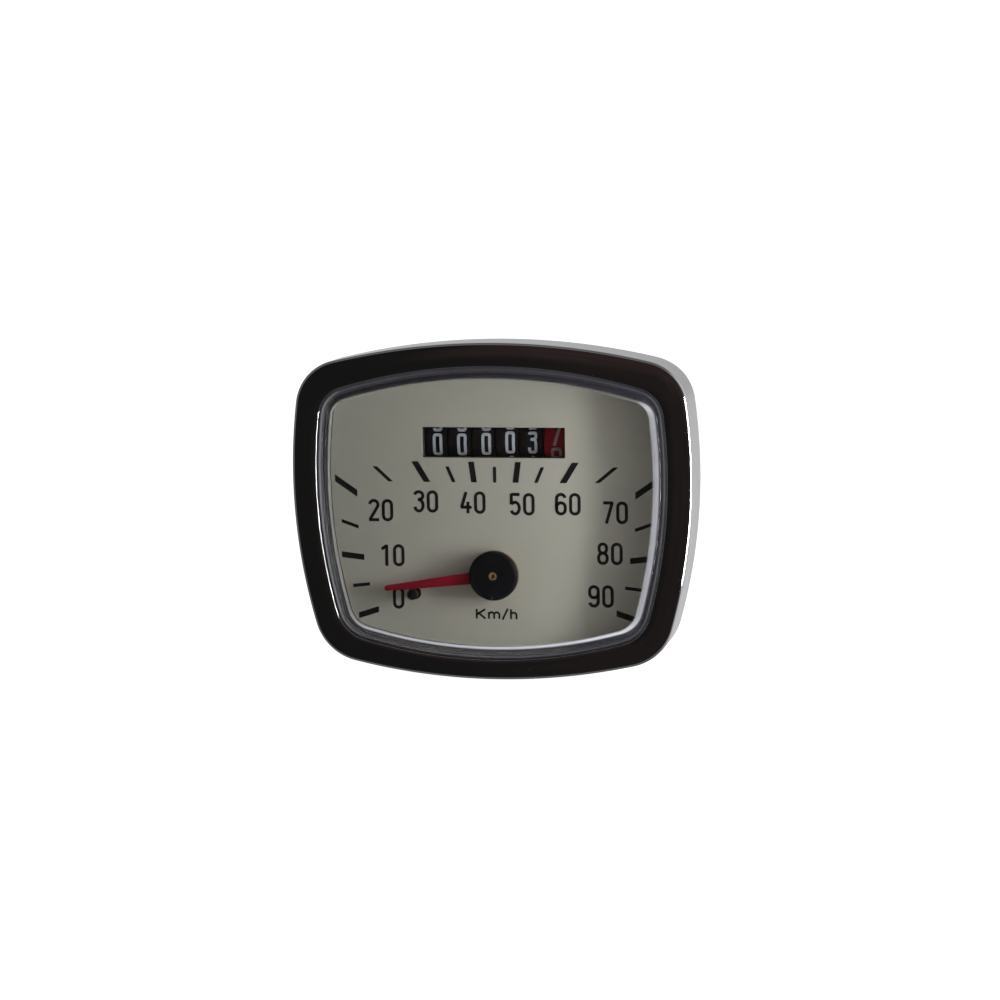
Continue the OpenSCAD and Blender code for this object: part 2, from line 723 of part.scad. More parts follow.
// Pointer: it rests against the stop pin, which sets its angle at rest
needle_h = cap_lift + 0.3;
needle_y = dial_y - needle_h - needle_t;
stop_gap = 0.08;
function half_width(d) = mid(0, needle_root_w + (needle_tip_w - needle_root_w) * d / needle_len);
rest_angle = stop_angle - asin((stop_r + stop_gap + half_width(stop_at)) / stop_at);
echo(pointer_sweep = 180 + rest_angle + full_scale_angle);
module needle_shape(grow = 0) {
    tip_r = needle_tip_w / 2 + grow;
    root = needle_root_w / 2 + grow;
    rotate(180 + rest_angle) {
        polygon([[0, -root], [needle_len - tip_r, -tip_r], [needle_len - tip_r, tip_r], [0, root]]);
        translate([needle_len - tip_r, 0]) circle(r = tip_r);
    }
    circle(r = 2.4 + grow);
}
bush_r_hub = 0.85;
module needle() {
    color("crimson")
        difference() {
            plate(needle_y, needle_y + needle_t) needle_shape();
            rod(needle_y - eps, needle_y + needle_t + eps, bush_r_hub + press);
        }
}
module hub_cap() {
    back = dial_y - cap_lift;
    front = back - cap_t;
    chamfer = 0.5;
    color("black")
        difference() {
            turned([[0, front], [cap_r - chamfer, front], [cap_r - chamfer / 4, front + chamfer / 2],
                    [cap_r, front + chamfer], [cap_r, back], [0, back]]);
            rod(front - eps, back + eps, bush_r_hub + press);
            plate(needle_y - press, needle_y + needle_t + press) needle_shape(press);
        }
}
module hub_disc() {
    color("goldenrod")
        tube(dial_y - cap_lift + 0.15, dial_y - cap_lift + 0.45, cap_r, bush_r_hub + press);
}
module hub_bush() {
    front = dial_y - cap_lift - cap_t - 0.1;
    color("goldenrod") tube(front, dial_y - 0.3, bush_r_hub, spindle_r + press);
}
pivot_y = magnet_y + pivot_in;
module pointer_spindle() {
    color("lightgray")
        turned([[0, dial_y - cap_lift - cap_t + 0.6], [spindle_r, dial_y - cap_lift - cap_t + 0.6],
                [spindle_r, pivot_y - 0.3], [0.1, pivot_y], [0, pivot_y]]);
}
module drag_cup() {
    color("lightsteelblue")
        difference() {
            rod(cup_y, magnet_back_y - 0.6, cup_r);
            rod(cup_y + cup_t, magnet_back_y, cup_in_r);
            rod(cup_y - eps, magnet_back_y, 1 + press);
        }
}
module cup_hub() {
    color("gold")
        difference() {
            turned([[0, cup_y - 0.4], [1.8, cup_y - 0.4], [1.8, cup_y], [1, cup_y],
                    [1, cup_y + cup_t], [1.6, cup_y + cup_t], [1.6, cup_y + cup_t + 0.5], [0, cup_y + cup_t + 0.5]]);
            rod(cup_y - 1, cup_y + 2, spindle_r + press);
        }
}

// Drive spindle: its front end carries the pointer's pivot, its rear end the cable core
module drive_spindle() {
    front = magnet_y + 0.2;
    head_r = bush_r - 0.25;
    back = mouth_y - 0.1;
    color("silver")
        difference() {
            turned([[0, front], [drive_r, front], [drive_r, head_y + 0.15], [head_r, head_y + 0.15],
                    [head_r, back], [0, back]]);
            rod(front - eps, pivot_y + 0.3, spindle_r + running);
            translate([-square_w / 2, head_y + 0.8, -square_w / 2])
                cube([square_w, back, square_w]);
        }
}
hub_r = 2.2;
module magnet() {
    color("dimgray") tube(magnet_y, magnet_back_y, magnet_r, hub_r + press);
}
module magnet_hub() {
    flange = 0.4;
    color("lightgray")
        difference() {
            turned([[0, magnet_y], [hub_r, magnet_y], [hub_r, magnet_back_y], [2 * hub_r, magnet_back_y],
                    [2 * hub_r, magnet_back_y + flange], [0, magnet_back_y + flange]]);
            rod(magnet_y - eps, magnet_back_y + 1, drive_r + press);
        }
}
module thrust_washer() {
    color("silver") tube(base_y - 0.4, base_y - 0.1, bush_r, drive_r + press);
}

// Worm along Z, centred on the origin. At half turns = 0 a crest faces the angle face.
// The surface is a grid of angles and rows, whose radius follows the thread's section.
function worm_radius(u, m, r) =
    let (p = PI * m, v = abs(u - p * round(u / p)), flat = p / 4 - tooth_gap - m * tan(20))
    r + m - min(max((v - flat) / tan(20), 0), 2.2 * m);
module worm(m, pitch, r, length, face, bore) {
    n = 24;
    rows = ceil(length / pitch * 8);
    function row_r(z, a, j) =
        j == 0 || j == rows ? r - 1.2 * m : worm_radius((z - pitch * (a - face) / 360) * PI * m / pitch, m, r);
    rings = [for (j = [0 : rows])
        let (z = length * (j / rows - 0.5))
        [for (i = [0 : n - 1]) let (a = -360 * i / n, q = row_r(z, a, j)) [q * cos(a), q * sin(a), z]]];
    difference() {
        skin(rings);
        translate([0, 0, -length]) cylinder(h = 2 * length, r = bore + press);
    }
}

// Fine-toothed wheel along Z, centred on the origin. A gap faces the angle face.
module worm_wheel(teeth, m, width, slant, face, hub, hub_low, hub_high, bore) {
    r = teeth * m / 2;
    root = r - 1.2 * m;
    half = PI * m / 4 - tooth_gap;
    top = half - 0.9 * m * tan(20);
    low = half + 1.2 * m * tan(20);
    difference() {
        union() {
            translate([0, 0, -width / 2]) cylinder(h = width, r = root + 0.02);
            translate([0, 0, hub_low]) cylinder(h = hub_high - hub_low, r = hub);
            for (k = [0 : teeth - 1])
                rotate(face + 360 * (k + 0.5) / teeth)
                    rotate([slant, 0, 0])
                        translate([0, 0, -width / 2])
                            linear_extrude(width)
                                polygon([[root - 0.15, -low], [r + 0.9 * m, -top], [r + 0.9 * m, top], [root - 0.15, low]]);
        }
        translate([0, 0, hub_low - 1]) cylinder(h = hub_high - hub_low + 2, r = bore);
    }
}

worm1_lead = atan(worm1_m / (2 * worm1_r));
module spindle_worm() {
    color("gold")
        translate([0, cross_y, 0])
            rotate([-90, 0, 0])
                worm(worm1_m, PI * worm1_m, worm1_r, 6, cross_tilt, drive_r);
}
module cross_shaft() {
    color("silver")
        on_cross_shaft()
            rotate_extrude()
                polygon([[0, foot_t + 0.3], [journal_r, foot_t + 0.3], [journal_r, foot_t + 3.2],
                         [cross_r, foot_t + 3.2], [cross_r, head_t_top - 3], [journal_r, head_t_top - 3],
                         [journal_r, head_t_top], [0, head_t_top]]);
}
module cross_wheel() {
    color("ivory")
        on_cross_shaft()
            worm_wheel(wheel1_teeth, worm1_m, wheel1_w, -worm1_lead, 180, 2.2, -1.8, 1.8, cross_r + press);
}

// The second worm's thread leans to the wheel by the shaft's slant less its own lead
wheel2_p = PI * wheel2_m;
lead_guess = atan(wheel2_p * cos(cross_tilt) / (2 * PI * worm2_r));
worm2_p = wheel2_p * cos(cross_tilt - lead_guess) / cos(lead_guess);
worm2_lead = atan(worm2_p / (2 * PI * worm2_r));
wheel2_slant = cross_tilt - worm2_lead;
module cross_worm() {
    color("gold")
        on_cross_shaft()
            translate([0, 0, worm2_t])
                worm(wheel2_m, worm2_p, worm2_r, 5, -90, cross_r);
}

// Frame of the counter: local Z runs along +X through the drums, local X points down
// and local Y points to the back.
module on_drum_axis(x) {
    translate([x, drum_axis_y, window_z])
        rotate([0, 90, 0]) children();
}
drum_bore = shaft_r + 0.05;
module drum_wheel() {
    color("ivory")
        on_drum_axis(wheel2_x)
            worm_wheel(wheel2_teeth, wheel2_m, 1.6, wheel2_slant, 90, 2.4,
                       stack_w / 2 - mid(drum_pitch, -drum_w) - wheel2_x, bracket_right_x - wheel2_x - 0.2, drum_bore);
}

module counter_bracket() {
    half_h = 4.2;
    nose_y = drum_axis_y;
    ear = 3;
    ear_front = 2.2;
    color("gainsboro")
        difference() {
            union() {
                translate([bracket_left_x - bracket_t, bracket_y, bracket_low_z])
                    cube([bracket_right_x + 2 * bracket_t - bracket_left_x, bracket_t, bracket_high_z - bracket_low_z]);
                for (x = [bracket_left_x - bracket_t, bracket_right_x]) {
                    translate([x, nose_y, window_z - half_h])
                        cube([bracket_t, bracket_y - nose_y + eps, 2 * half_h]);
                    translate([0, nose_y, window_z]) bar(x, x + bracket_t, half_h);
                }
                on_cross_shaft()
                    translate([-ear, -ear_front, head_t_top - 2.6])
                        cube([2 * ear, bracket_back_y - cross_y + ear_front, bracket_t]);
            }
            translate([0, nose_y, window_z])
                bar(bracket_left_x - 2 * bracket_t, bracket_right_x + 2 * bracket_t, shaft_r + press);
            on_cross_shaft()
                translate([0, 0, head_t_top - 4]) cylinder(h = 6, r = journal_r + running);
            for (z = bracket_screw_z)
                translate([0, 0, z]) rod(bracket_y - eps, bracket_back_y + eps, bracket_screw_r + push_fit);
            for (i = [0 : drum_count - 2])
                translate([carrier_x(i) - mid(carrier_t, 0.1), bracket_y - eps, window_z - mid(tail_h, 0.1)])
                    cube([carrier_t + 0.1, bracket_t + 2 * eps, tail_h + 0.1]);
        }
}
module bracket_screws() {
    color("silver")
        for (z = bracket_screw_z)
            translate([0, bracket_y, z]) screw(bracket_screw_r, bracket_t + bracket_bite, -1);
}
shaft_end = 1;
module drum_shaft() {
    color("silver")
        translate([0, drum_axis_y, window_z])
            bar(bracket_left_x - bracket_t - shaft_end, bracket_right_x + bracket_t + shaft_end, shaft_r);
}
// Two open clips on the ends of the drum shaft
module shaft_clips() {
    clip_t = 0.5;
    clip_r = 2.2;
    color("dimgray")
        for (x = [bracket_left_x - bracket_t - clip_t, bracket_right_x + bracket_t])
            translate([0, drum_axis_y, window_z])
                difference() {
                    bar(x, x + clip_t, clip_r);
                    bar(x - 1, x + clip_t + 1, shaft_r + press);
                    translate([x - 1, -0.6, -clip_r - 1]) cube([clip_t + 2, 1.2, clip_r + 1]);
                }
}
module end_washer() {
    x = -stack_w / 2 + mid(drum_pitch, -drum_w);
    color("silver")
        translate([0, drum_axis_y, window_z])
            difference() {
                bar(bracket_left_x + 0.15, x - 0.15, 2.6);
                bar(bracket_left_x - 1, x + 1, shaft_r + press);
            }
}

// Transfer gears: inside the drums, between one drum and the next higher one
ring_m = 0.62;
ring_teeth = 20;
pinion_teeth = 6;
ring_r = ring_m * ring_teeth / 2;
pinion_r = ring_m * pinion_teeth / 2;
pinion_off = ring_r - pinion_r;
pinion_tip = pinion_r + 0.9 * ring_m;
pinion_tip_half = 0.22;
bore_r = drum_r - drum_wall;
web_t = 0.8;
ring_w = mid(drum_w, -web_t);
drum_hub_r = 1.65;
pinion_slack = 0.15;
journal = 1.15;
// The ring that locks the pinion clears the corners of its two nearest long teeth
lock_corner = [pinion_off, 0] + pinion_tip * unit(60) + pinion_tip_half * unit(-30);
lock_r = norm(lock_corner) + 0.1;

// Points of a toothed outline: each tooth has half widths at two radii
function teeth_points(n, r_low, half_low, r_high, half_high, step = 1) =
    [for (k = [0 : step : n - 1])
        let (a = 360 * k / n, u = unit(a), v = [-u[1], u[0]])
        each [r_low * u - half_low * v, r_high * u - half_high * v,
              r_high * u + half_high * v, r_low * u + half_low * v]];

// One drum along Z, which points to +X: the driven ring is on its right, the lock on its left
module drum(has_lock, has_ring) {
    gap_half = PI * ring_m / 4 + tooth_gap;
    difference() {
        translate([0, 0, -drum_w / 2]) cylinder(h = drum_w, r = drum_r);
        translate([0, 0, web_t / 2])
            linear_extrude(drum_w, convexity = 8)
                difference() {
                    if (has_ring)
                        polygon(teeth_points(ring_teeth, ring_r - 0.5, gap_half + 0.15, ring_r + 0.7, gap_half - 0.25));
                    else
                        circle(r = ring_r);
                    circle(r = drum_hub_r);
                }
        translate([0, 0, -web_t / 2 - drum_w])
            linear_extrude(drum_w, convexity = 8)
                difference() {
                    union() {
                        circle(r = has_lock ? lock_r : bore_r);
                        if (has_lock)
                            rotate(40) translate([0, -gap_half]) square([ring_r + 0.7, 2 * gap_half]);
                    }
                    circle(r = drum_hub_r);
                }
        translate([0, 0, -drum_w]) cylinder(h = 2 * drum_w, r = drum_bore);
    }
}
module drum_at(i) {
    on_drum_axis(drum_x(i)) drum(i < drum_count - 1, i > 0);
}
module tenths_drum() {
    color("firebrick") drum_at(0);
}
module units_drum() {
    color("dimgray") drum_at(1);
}
module tens_drum() {
    color("dimgray") drum_at(2);
}
module hundreds_drum() {
    color("dimgray") drum_at(3);
}
module thousands_drum() {
    color("dimgray") drum_at(4);
}
module ten_thousands_drum() {
    color("dimgray") drum_at(5);
}

// Pinion below the shaft: six teeth on its left in the next drum's ring,
// three long teeth on its right that ride on the lock of the drum before it
module pinion_at(i) {
    reach = ring_w - 2 * pinion_slack;
    gap = drum_pitch - drum_w;
    half = PI * ring_m / 4 - tooth_gap;
    color("ivory")
        translate([carrier_x(i), drum_axis_y, window_z - pinion_off])
            rotate([0, 90, 0]) {
                translate([0, 0, -gap / 2 - pinion_slack - reach])
                    linear_extrude(reach)
                        polygon(teeth_points(pinion_teeth, 0.95, 0.5, pinion_tip, pinion_tip_half));
                translate([0, 0, gap / 2 + pinion_slack])
                    linear_extrude(reach)
                        rotate(60) pinion_side();
                translate([0, 0, -gap / 2 - pinion_slack - eps])
                    cylinder(h = gap + 2 * pinion_slack + 2 * eps, r = journal);
            }
}
module pinion_side() {
    circle(r = 1.05);
    polygon(teeth_points(pinion_teeth, 0.8, 0.5, pinion_tip, pinion_tip_half, 2));
}
module tenths_pinion() {
    pinion_at(0);
}
module units_pinion() {
    pinion_at(1);
}
module tens_pinion() {
    pinion_at(2);
}
module hundreds_pinion() {
    pinion_at(3);
}
module thousands_pinion() {
    pinion_at(4);
}

// Thin fixed plates between the drums, each slotted for a pinion and tailed into the bracket
tail_h = 3;
carrier_r = drum_r - 0.4;
module carrier_plates() {
    color("silver")
        for (i = [0 : drum_count - 2])
            translate([carrier_x(i), drum_axis_y, window_z])
                difference() {
                    union() {
                        bar(-carrier_t / 2, carrier_t / 2, carrier_r);
                        translate([-carrier_t / 2, 0, -tail_h / 2])
                            cube([carrier_t, bracket_back_y - drum_axis_y, tail_h]);
                    }
                    bar(-1, 1, shaft_r + press);
                    translate([0, 0, -pinion_off]) bar(-1, 1, journal + running);
                    translate([-1, -journal - running, -carrier_r - 1])
                        cube([2, 2 * (journal + running), carrier_r + 1 - pinion_off]);
                }
}

// Dial lamp: a push-in holder in the case back with a small bulb inside
holder_t = 0.7;
holder_front = 14;
cap_front = holder_front - 1;
module at_lamp() {
    translate([lamp_place[0], 0, lamp_place[1]]) children();
}
module lamp_holder() {
    flange_r = lamp_r + 1.6;
    flange_t = 0.8;
    inner = lamp_r - holder_t;
    color("silver")
        at_lamp()
            turned([[inner, -holder_front], [lamp_r, -holder_front], [lamp_r, 0], [flange_r, 0],
                    [flange_r, flange_t], [inner, flange_t]]);
}
insulator_front = 3;
module lamp_insulator() {
    color("saddlebrown")
        at_lamp()
            difference() {
                rod(-insulator_front, 1.6, lamp_r - holder_t - push_fit);
                translate([-1, -insulator_front - eps, -0.45]) cube([2, 10, 0.9]);
            }
}
module lamp_blade() {
    half_w = 2.4;
    color("gold")
        at_lamp() {
            translate([-1 + press, -insulator_front, -0.4]) cube([2 - 2 * press, insulator_front + 1.6 + eps, 0.8]);
            translate([-half_w, 1.6 + press, -0.4]) cube([2 * half_w, blade_len, 0.8]);
        }
}
lamp_cap_r = 3.5;
module lamp_cap() {
    color("goldenrod")
        at_lamp() {
            rod(-cap_front, -insulator_front - 1, lamp_cap_r);
            rod(-insulator_front - 1 - eps, -insulator_front - 0.05, 1.2);
            translate([0, -mid(cap_front, insulator_front + 1), 0])
                bar(-lamp_r + holder_t + push_fit, lamp_r - holder_t - push_fit, 0.6);
        }
}
module lamp_bulb() {
    glass_r = 3.3;
    glass_len = 9;
    tip = -cap_front - glass_len;
    dome = [for (i = [0 : 6]) let (a = 15 * i) [glass_r * sin(a), tip + glass_r * (1 - cos(a))]];
    color("white", 0.4)
        at_lamp() turned(concat(dome, [[glass_r - 0.3, -cap_front], [0, -cap_front]]));
}

bezel();
lens();
lens_seal();
dial();
case();
mounting_gasket();
studs();
frame();
threaded_nose();
frame_screws();
rear_bush();
front_bush();
flux_ring();
bridge();
bridge_screws();
front_bearing();
stop_pin();
spring_stud();
hairspring();
spring_collet();
needle();
hub_cap();
hub_disc();
hub_bush();
pointer_spindle();
drag_cup();
cup_hub();
drive_spindle();
magnet();
magnet_hub();
spindle_worm();
thrust_washer();
cross_shaft();
cross_wheel();
cross_worm();
counter_bracket();
bracket_screws();
drum_shaft();
shaft_clips();
end_washer();
carrier_plates();
drum_wheel();
tenths_drum();
units_drum();
tens_drum();
hundreds_drum();
thousands_drum();
ten_thousands_drum();
tenths_pinion();
units_pinion();
tens_pinion();
hundreds_pinion();
thousands_pinion();
lamp_holder();
lamp_insulator();
lamp_blade();
lamp_cap();
lamp_bulb();
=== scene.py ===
import math

import bmesh
import bpy
import numpy as np
from mathutils import Matrix, Vector


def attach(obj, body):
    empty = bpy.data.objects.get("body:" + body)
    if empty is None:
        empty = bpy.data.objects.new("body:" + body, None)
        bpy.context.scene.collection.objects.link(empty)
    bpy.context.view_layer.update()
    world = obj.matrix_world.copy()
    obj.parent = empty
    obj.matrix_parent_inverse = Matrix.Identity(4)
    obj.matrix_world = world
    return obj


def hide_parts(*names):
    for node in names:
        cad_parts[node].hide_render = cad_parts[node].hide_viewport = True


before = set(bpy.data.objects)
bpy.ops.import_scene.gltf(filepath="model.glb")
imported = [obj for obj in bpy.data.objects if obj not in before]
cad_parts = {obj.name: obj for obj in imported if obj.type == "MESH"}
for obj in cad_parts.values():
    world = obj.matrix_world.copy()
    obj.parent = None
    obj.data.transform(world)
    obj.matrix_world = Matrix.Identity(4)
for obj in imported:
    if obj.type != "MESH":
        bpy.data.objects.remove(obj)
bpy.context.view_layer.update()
mm = 0.001
join = np.concatenate
print("movement and case loaded:", len(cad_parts), "pieces")


# shape helpers

def gridFaces(rows, cols, closeRows=False, closeCols=False):
    # quads over a rows x cols grid of points, wrapped round in either direction when it closes
    r = np.arange(rows if closeRows else rows - 1)
    c = np.arange(cols if closeCols else cols - 1)
    rr, cc = np.meshgrid(r, c, indexing="ij")
    r2, c2 = (rr + 1) % rows, (cc + 1) % cols
    return np.stack([rr * cols + cc, rr * cols + c2, r2 * cols + c2, r2 * cols + cc], -1).reshape(-1, 4)


def meshPiece(name, points, faces, material):
    # points in millimetres and faces as a list of index arrays, made into one smooth mesh
    mesh = bpy.data.meshes.new(name)
    mesh.from_pydata((np.asarray(points, float) * mm).tolist(), [], [list(map(int, f)) for part in faces for f in part])
    mesh.validate()
    mesh.shade_smooth()
    mesh.materials.append(material)
    piece = bpy.data.objects.new(name, mesh)
    bpy.context.scene.collection.objects.link(piece)
    return piece


def solidPiece(name, points, faces, material, crease=32):
    # a closed mesh: doubles are merged, the faces turned to point outwards, and edges over the crease angle kept sharp
    piece = meshPiece(name, points, faces, material)
    bm = bmesh.new()
    bm.from_mesh(piece.data)
    bmesh.ops.remove_doubles(bm, verts=bm.verts, dist=1e-7)
    bmesh.ops.recalc_face_normals(bm, faces=bm.faces)
    bm.to_mesh(piece.data)
    bm.free()
    piece.data.set_sharp_from_angle(angle=math.radians(crease))
    return piece


def arcPoints(cx, cy, rx, ry, fromDeg, toDeg, count):
    # points on an ellipse about (cx, cy) between two angles
    a = np.radians(np.linspace(fromDeg, toDeg, count))
    return np.stack([cx + rx * np.cos(a), cy + ry * np.sin(a)], -1)


def ribbon(path, width, closed=False):
    # each point of the path is moved half the width to either side, along the mean of its two edge normals
    p = np.asarray(path, float)
    ahead = np.roll(p, -1, 0) - p
    behind = p - np.roll(p, 1, 0)
    if not closed:
        ahead[-1], behind[0] = behind[-1], ahead[0]
    unit = lambda v: v / np.linalg.norm(v, axis=1)[:, None]
    aside = lambda v: np.stack([-v[:, 1], v[:, 0]], -1)
    ahead, behind = unit(ahead), unit(behind)
    normal = unit(aside(ahead + behind))
    reach = width / 2 / np.clip((normal * aside(ahead)).sum(1), 0.5, 1)
    return p + normal * reach[:, None], p - normal * reach[:, None]


def gather(parts):
    # separate solids, each points and faces, put one after the other
    points, faces, base = [], [], 0
    for own, ownFaces in parts:
        points.append(own)
        faces += [f + base for f in ownFaces]
        base += len(own)
    return join(points), faces


def ribbonSolid(strokes, width, raise0, raise1):
    # every stroke becomes a strip with a thickness, from height raise0 to raise1: (x, y, height) points and quads
    parts = []
    for path, closed in strokes:
        left, right = ribbon(path, width, closed)
        n = len(left)
        ends = ((left, raise1), (right, raise1), (right, raise0), (left, raise0))
        ring = [np.column_stack([side, np.full(n, height)]) for side, height in ends]
        faces = [gridFaces(n, 4, closed, True)]
        if not closed:
            faces.append(np.array([[0, 1, 2, 3], np.arange(4 * n - 1, 4 * n - 5, -1)]))
        parts.append((np.stack(ring, 1).reshape(-1, 3), faces))
    return gather(parts)


def settle(piece, node=None, body="instrument"):
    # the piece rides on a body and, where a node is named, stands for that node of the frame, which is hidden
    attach(piece, body)
    if node:
        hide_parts(node)
    return piece


# front outline

frontShape = {
    "topHalfWidth": 36.4, "bottomHalfWidth": 32.6,    # corners of the bezel opening, in mm
    "topHeight": 38.9, "bottomDepth": 12.5,
    "topRise": 5.9, "bottomRise": 5.3, "sideRise": 3,
    "topCorner": 6.8, "bottomCorner": 8.4,
    "band": 4.4, "sideMore": 1.1, "topMore": 0.7,     # the bezel's band at the bottom, and what sides and top add
    "edgeFlatness": 1.26, "outerTopCorner": 10.5, "outerBottomCorner": 11.5,
    "bodyDepth": 38,
    "sidePoints": 56, "topPoints": 72, "cornerPoints": 30,
}


def frontEdges(s):
    # each closed edge is three shallow arcs, mirrored, with round corners: returns its points and their outward normals
    def bigArc(a, b, rise):
        d = b - a
        r = (d @ d / 4 + rise * rise) / (2 * rise)
        out = np.array([d[1], -d[0]]) / np.linalg.norm(d)
        return (a + b) / 2 + out * (rise - r), r

    def corner(c1, r1, c2, r2, r, near):
        # centre of a round corner that touches both arcs from inside
        d = np.linalg.norm(c2 - c1)
        e = (c2 - c1) / d
        x = ((r1 - r) ** 2 - (r2 - r) ** 2 + d * d) / (2 * d)
        h = math.sqrt((r1 - r) ** 2 - x * x)
        both = [c1 + e * x + k * h * np.array([-e[1], e[0]]) for k in (1, -1)]
        return min(both, key=lambda p: np.linalg.norm(p - near))

    tr = np.array([s["topHalfWidth"], s["topHeight"]])
    br = np.array([s["bottomHalfWidth"], -s["bottomDepth"]])
    flip = np.array([-1, 1])
    sideC, sideR = bigArc(br, tr, s["sideRise"])
    topC, topR = bigArc(tr, tr * flip, s["topRise"])
    lowC, lowR = bigArc(br * flip, br, s["bottomRise"])
    bearing = lambda c, p: math.atan2(p[1] - c[1], p[0] - c[0])
    pi = math.pi

    def edge(sideR, topC, topR, lowC, lowR, topCorner, lowCorner):
        trC = corner(sideC, sideR, topC, topR, topCorner, tr)
        brC = corner(sideC, sideR, lowC, lowR, lowCorner, br)
        sideLow, sideHigh = bearing(sideC, brC), bearing(sideC, trC)
        top, low = bearing(topC, trC), bearing(lowC, brC)
        side, across, turn = s["sidePoints"], s["topPoints"], s["cornerPoints"]
        runs = [(sideC, sideR, sideLow, sideHigh, side), (trC, topCorner, sideHigh, top, turn),
                (topC, topR, top, pi - top, across), (trC * flip, topCorner, pi - top, pi - sideHigh, turn),
                (sideC * flip, sideR, pi - sideHigh, pi - sideLow, side),
                (brC * flip, lowCorner, pi - sideLow, pi - low, turn),
                (lowC, lowR, pi - low, 2 * pi + low, across), (brC, lowCorner, 2 * pi + low, 2 * pi + sideLow, turn)]
        points, normals = [], []
        for c, r, a0, a1, n in runs:
            a = a0 + (a1 - a0) * np.arange(n) / n
            normal = np.stack([np.cos(a), np.sin(a)], -1)
            points.append(c + r * normal)
            normals.append(normal)
        return join(points), join(normals)

    outerTopR = (topR + s["band"] + s["topMore"]) * s["edgeFlatness"]
    outerLowR = (lowR + s["band"]) * s["edgeFlatness"]
    outerTopC = np.array([0, s["topHeight"] + s["topRise"] + s["band"] + s["topMore"] - outerTopR])
    outerLowC = np.array([0, outerLowR - s["bottomDepth"] - s["bottomRise"] - s["band"]])
    return {"opening": edge(sideR, topC, topR, lowC, lowR, s["topCorner"], s["bottomCorner"]),
            "bezel": edge(sideR + s["band"] + s["sideMore"], outerTopC, outerTopR, outerLowC, outerLowR,
                          s["outerTopCorner"], s["outerBottomCorner"])}


edges = frontEdges(frontShape)
highest = frontShape["topHeight"] + frontShape["topRise"]
lowest = frontShape["bottomDepth"] + frontShape["bottomRise"]
outlineMiddle = np.array([0, (highest - lowest) / 2])
backY = -frontShape["bodyDepth"]


def ringOf(edge, offset, depth, shrink=1):
    # an edge moved out by an offset and shrunk towards its middle, at a depth behind the bezel lip
    points, normals = edges[edge]
    flat = outlineMiddle + shrink * (points + offset * normals - outlineMiddle)
    return np.column_stack([flat[:, 0], np.full(len(flat), backY + depth), flat[:, 1]])


def loft(name, stations, material, closed=False, poles=()):
    # rings round the outline joined from first to last; a pole closes an end with a fan
    rings = [station if isinstance(station, np.ndarray) else ringOf(*station) for station in stations]
    n = len(rings[0])
    points = list(join(rings))
    faces = [gridFaces(len(rings), n, closed, True)]
    i = np.arange(n)
    for end in poles:
        row = 0 if end == "front" else len(rings) - 1
        points.append(rings[row].mean(0))
        tip = np.full(n, len(points) - 1)
        faces.append(np.stack([tip, row * n + i, row * n + (i + 1) % n], -1))
    return solidPiece(name, points, faces, material)


def roundTurn(cx, cy, r, fromDeg, toDeg, count):
    return [tuple(p) for p in arcPoints(cx, cy, r, r, fromDeg, toDeg, count)]


# materials

def feed(tree, socket, value):
    # a socket takes a link from another socket, or a plain value
    if isinstance(value, bpy.types.NodeSocket):
        tree.links.new(value, socket)
    else:
        socket.default_value = value


def addNode(tree, kind, **values):
    # a node with its settings, named without its first word; in_From_Min=0.3 feeds its input "From Min"
    node = tree.nodes.new(kind if kind.startswith("NodeGroup") else "ShaderNode" + kind)
    for key, value in values.items():
        if key.startswith("in_"):
            feed(tree, node.inputs[key[3:].replace("_", " ")], value)
        else:
            setattr(node, key, value)
    return node


def mathNode(tree, operation, a, b, clamp=False):
    node = addNode(tree, "Math", operation=operation, use_clamp=clamp)
    for socket, value in zip(node.inputs, (a, b)):
        feed(tree, socket, value)
    return node.outputs[0]


def mixColour(tree, factor, a, b):
    node = addNode(tree, "Mix", data_type="RGBA")
    for index, value in ((0, factor), (6, a), (7, b)):
        feed(tree, node.inputs[index], value)
    return node.outputs[2]


def mixShaders(tree, factor, a, b):
    node = addNode(tree, "MixShader")
    for socket, value in zip(node.inputs, (factor, a, b)):
        feed(tree, socket, value)
    return node.outputs[0]


def ramp(tree, value, low, high, a=0, b=1, kind="SMOOTHSTEP"):
    # a below low, b above high, and a smooth or a straight change between them
    return addNode(tree, "MapRange", clamp=True, interpolation_type=kind, in_Value=value, in_From_Min=low,
                   in_From_Max=high, in_To_Min=a, in_To_Max=b).outputs["Result"]


wearAndGlintSet = {
    "cloud": (0.36, 0.64), "hair": (0.67, 0.74),                   # where patches and hairlines begin and end in their noise
    "lays": ((0.6, (2400, 90, 2400)), (-0.9, (1700, 2000, 70))),   # turn and stretch of the two sets of hairlines
    "lean": 0.2, "twist": 0.35, "hairRough": 0.25, "hairDepth": 0.35,
    "dotScale": 620, "dotRadius": 0.17, "dotRarity": 0.78, "dotRough": 0.4, "dotHeight": 0.5,
    # what a finish has where it says nothing else
    "inputs": {"Base": (0.5, 0.5, 0.5, 1), "Patch": (0.4, 0.4, 0.4, 1), "Patch Size": 120, "Patch Amount": 0.5,
               "Roughness": 0.4, "Roughness Spread": 0.1, "Grain Size": 4000, "Grain Height": 0.3, "Scratches": 0,
               "Specks": 0, "Speck Colour": (0.6, 0.6, 0.58, 1)},
}


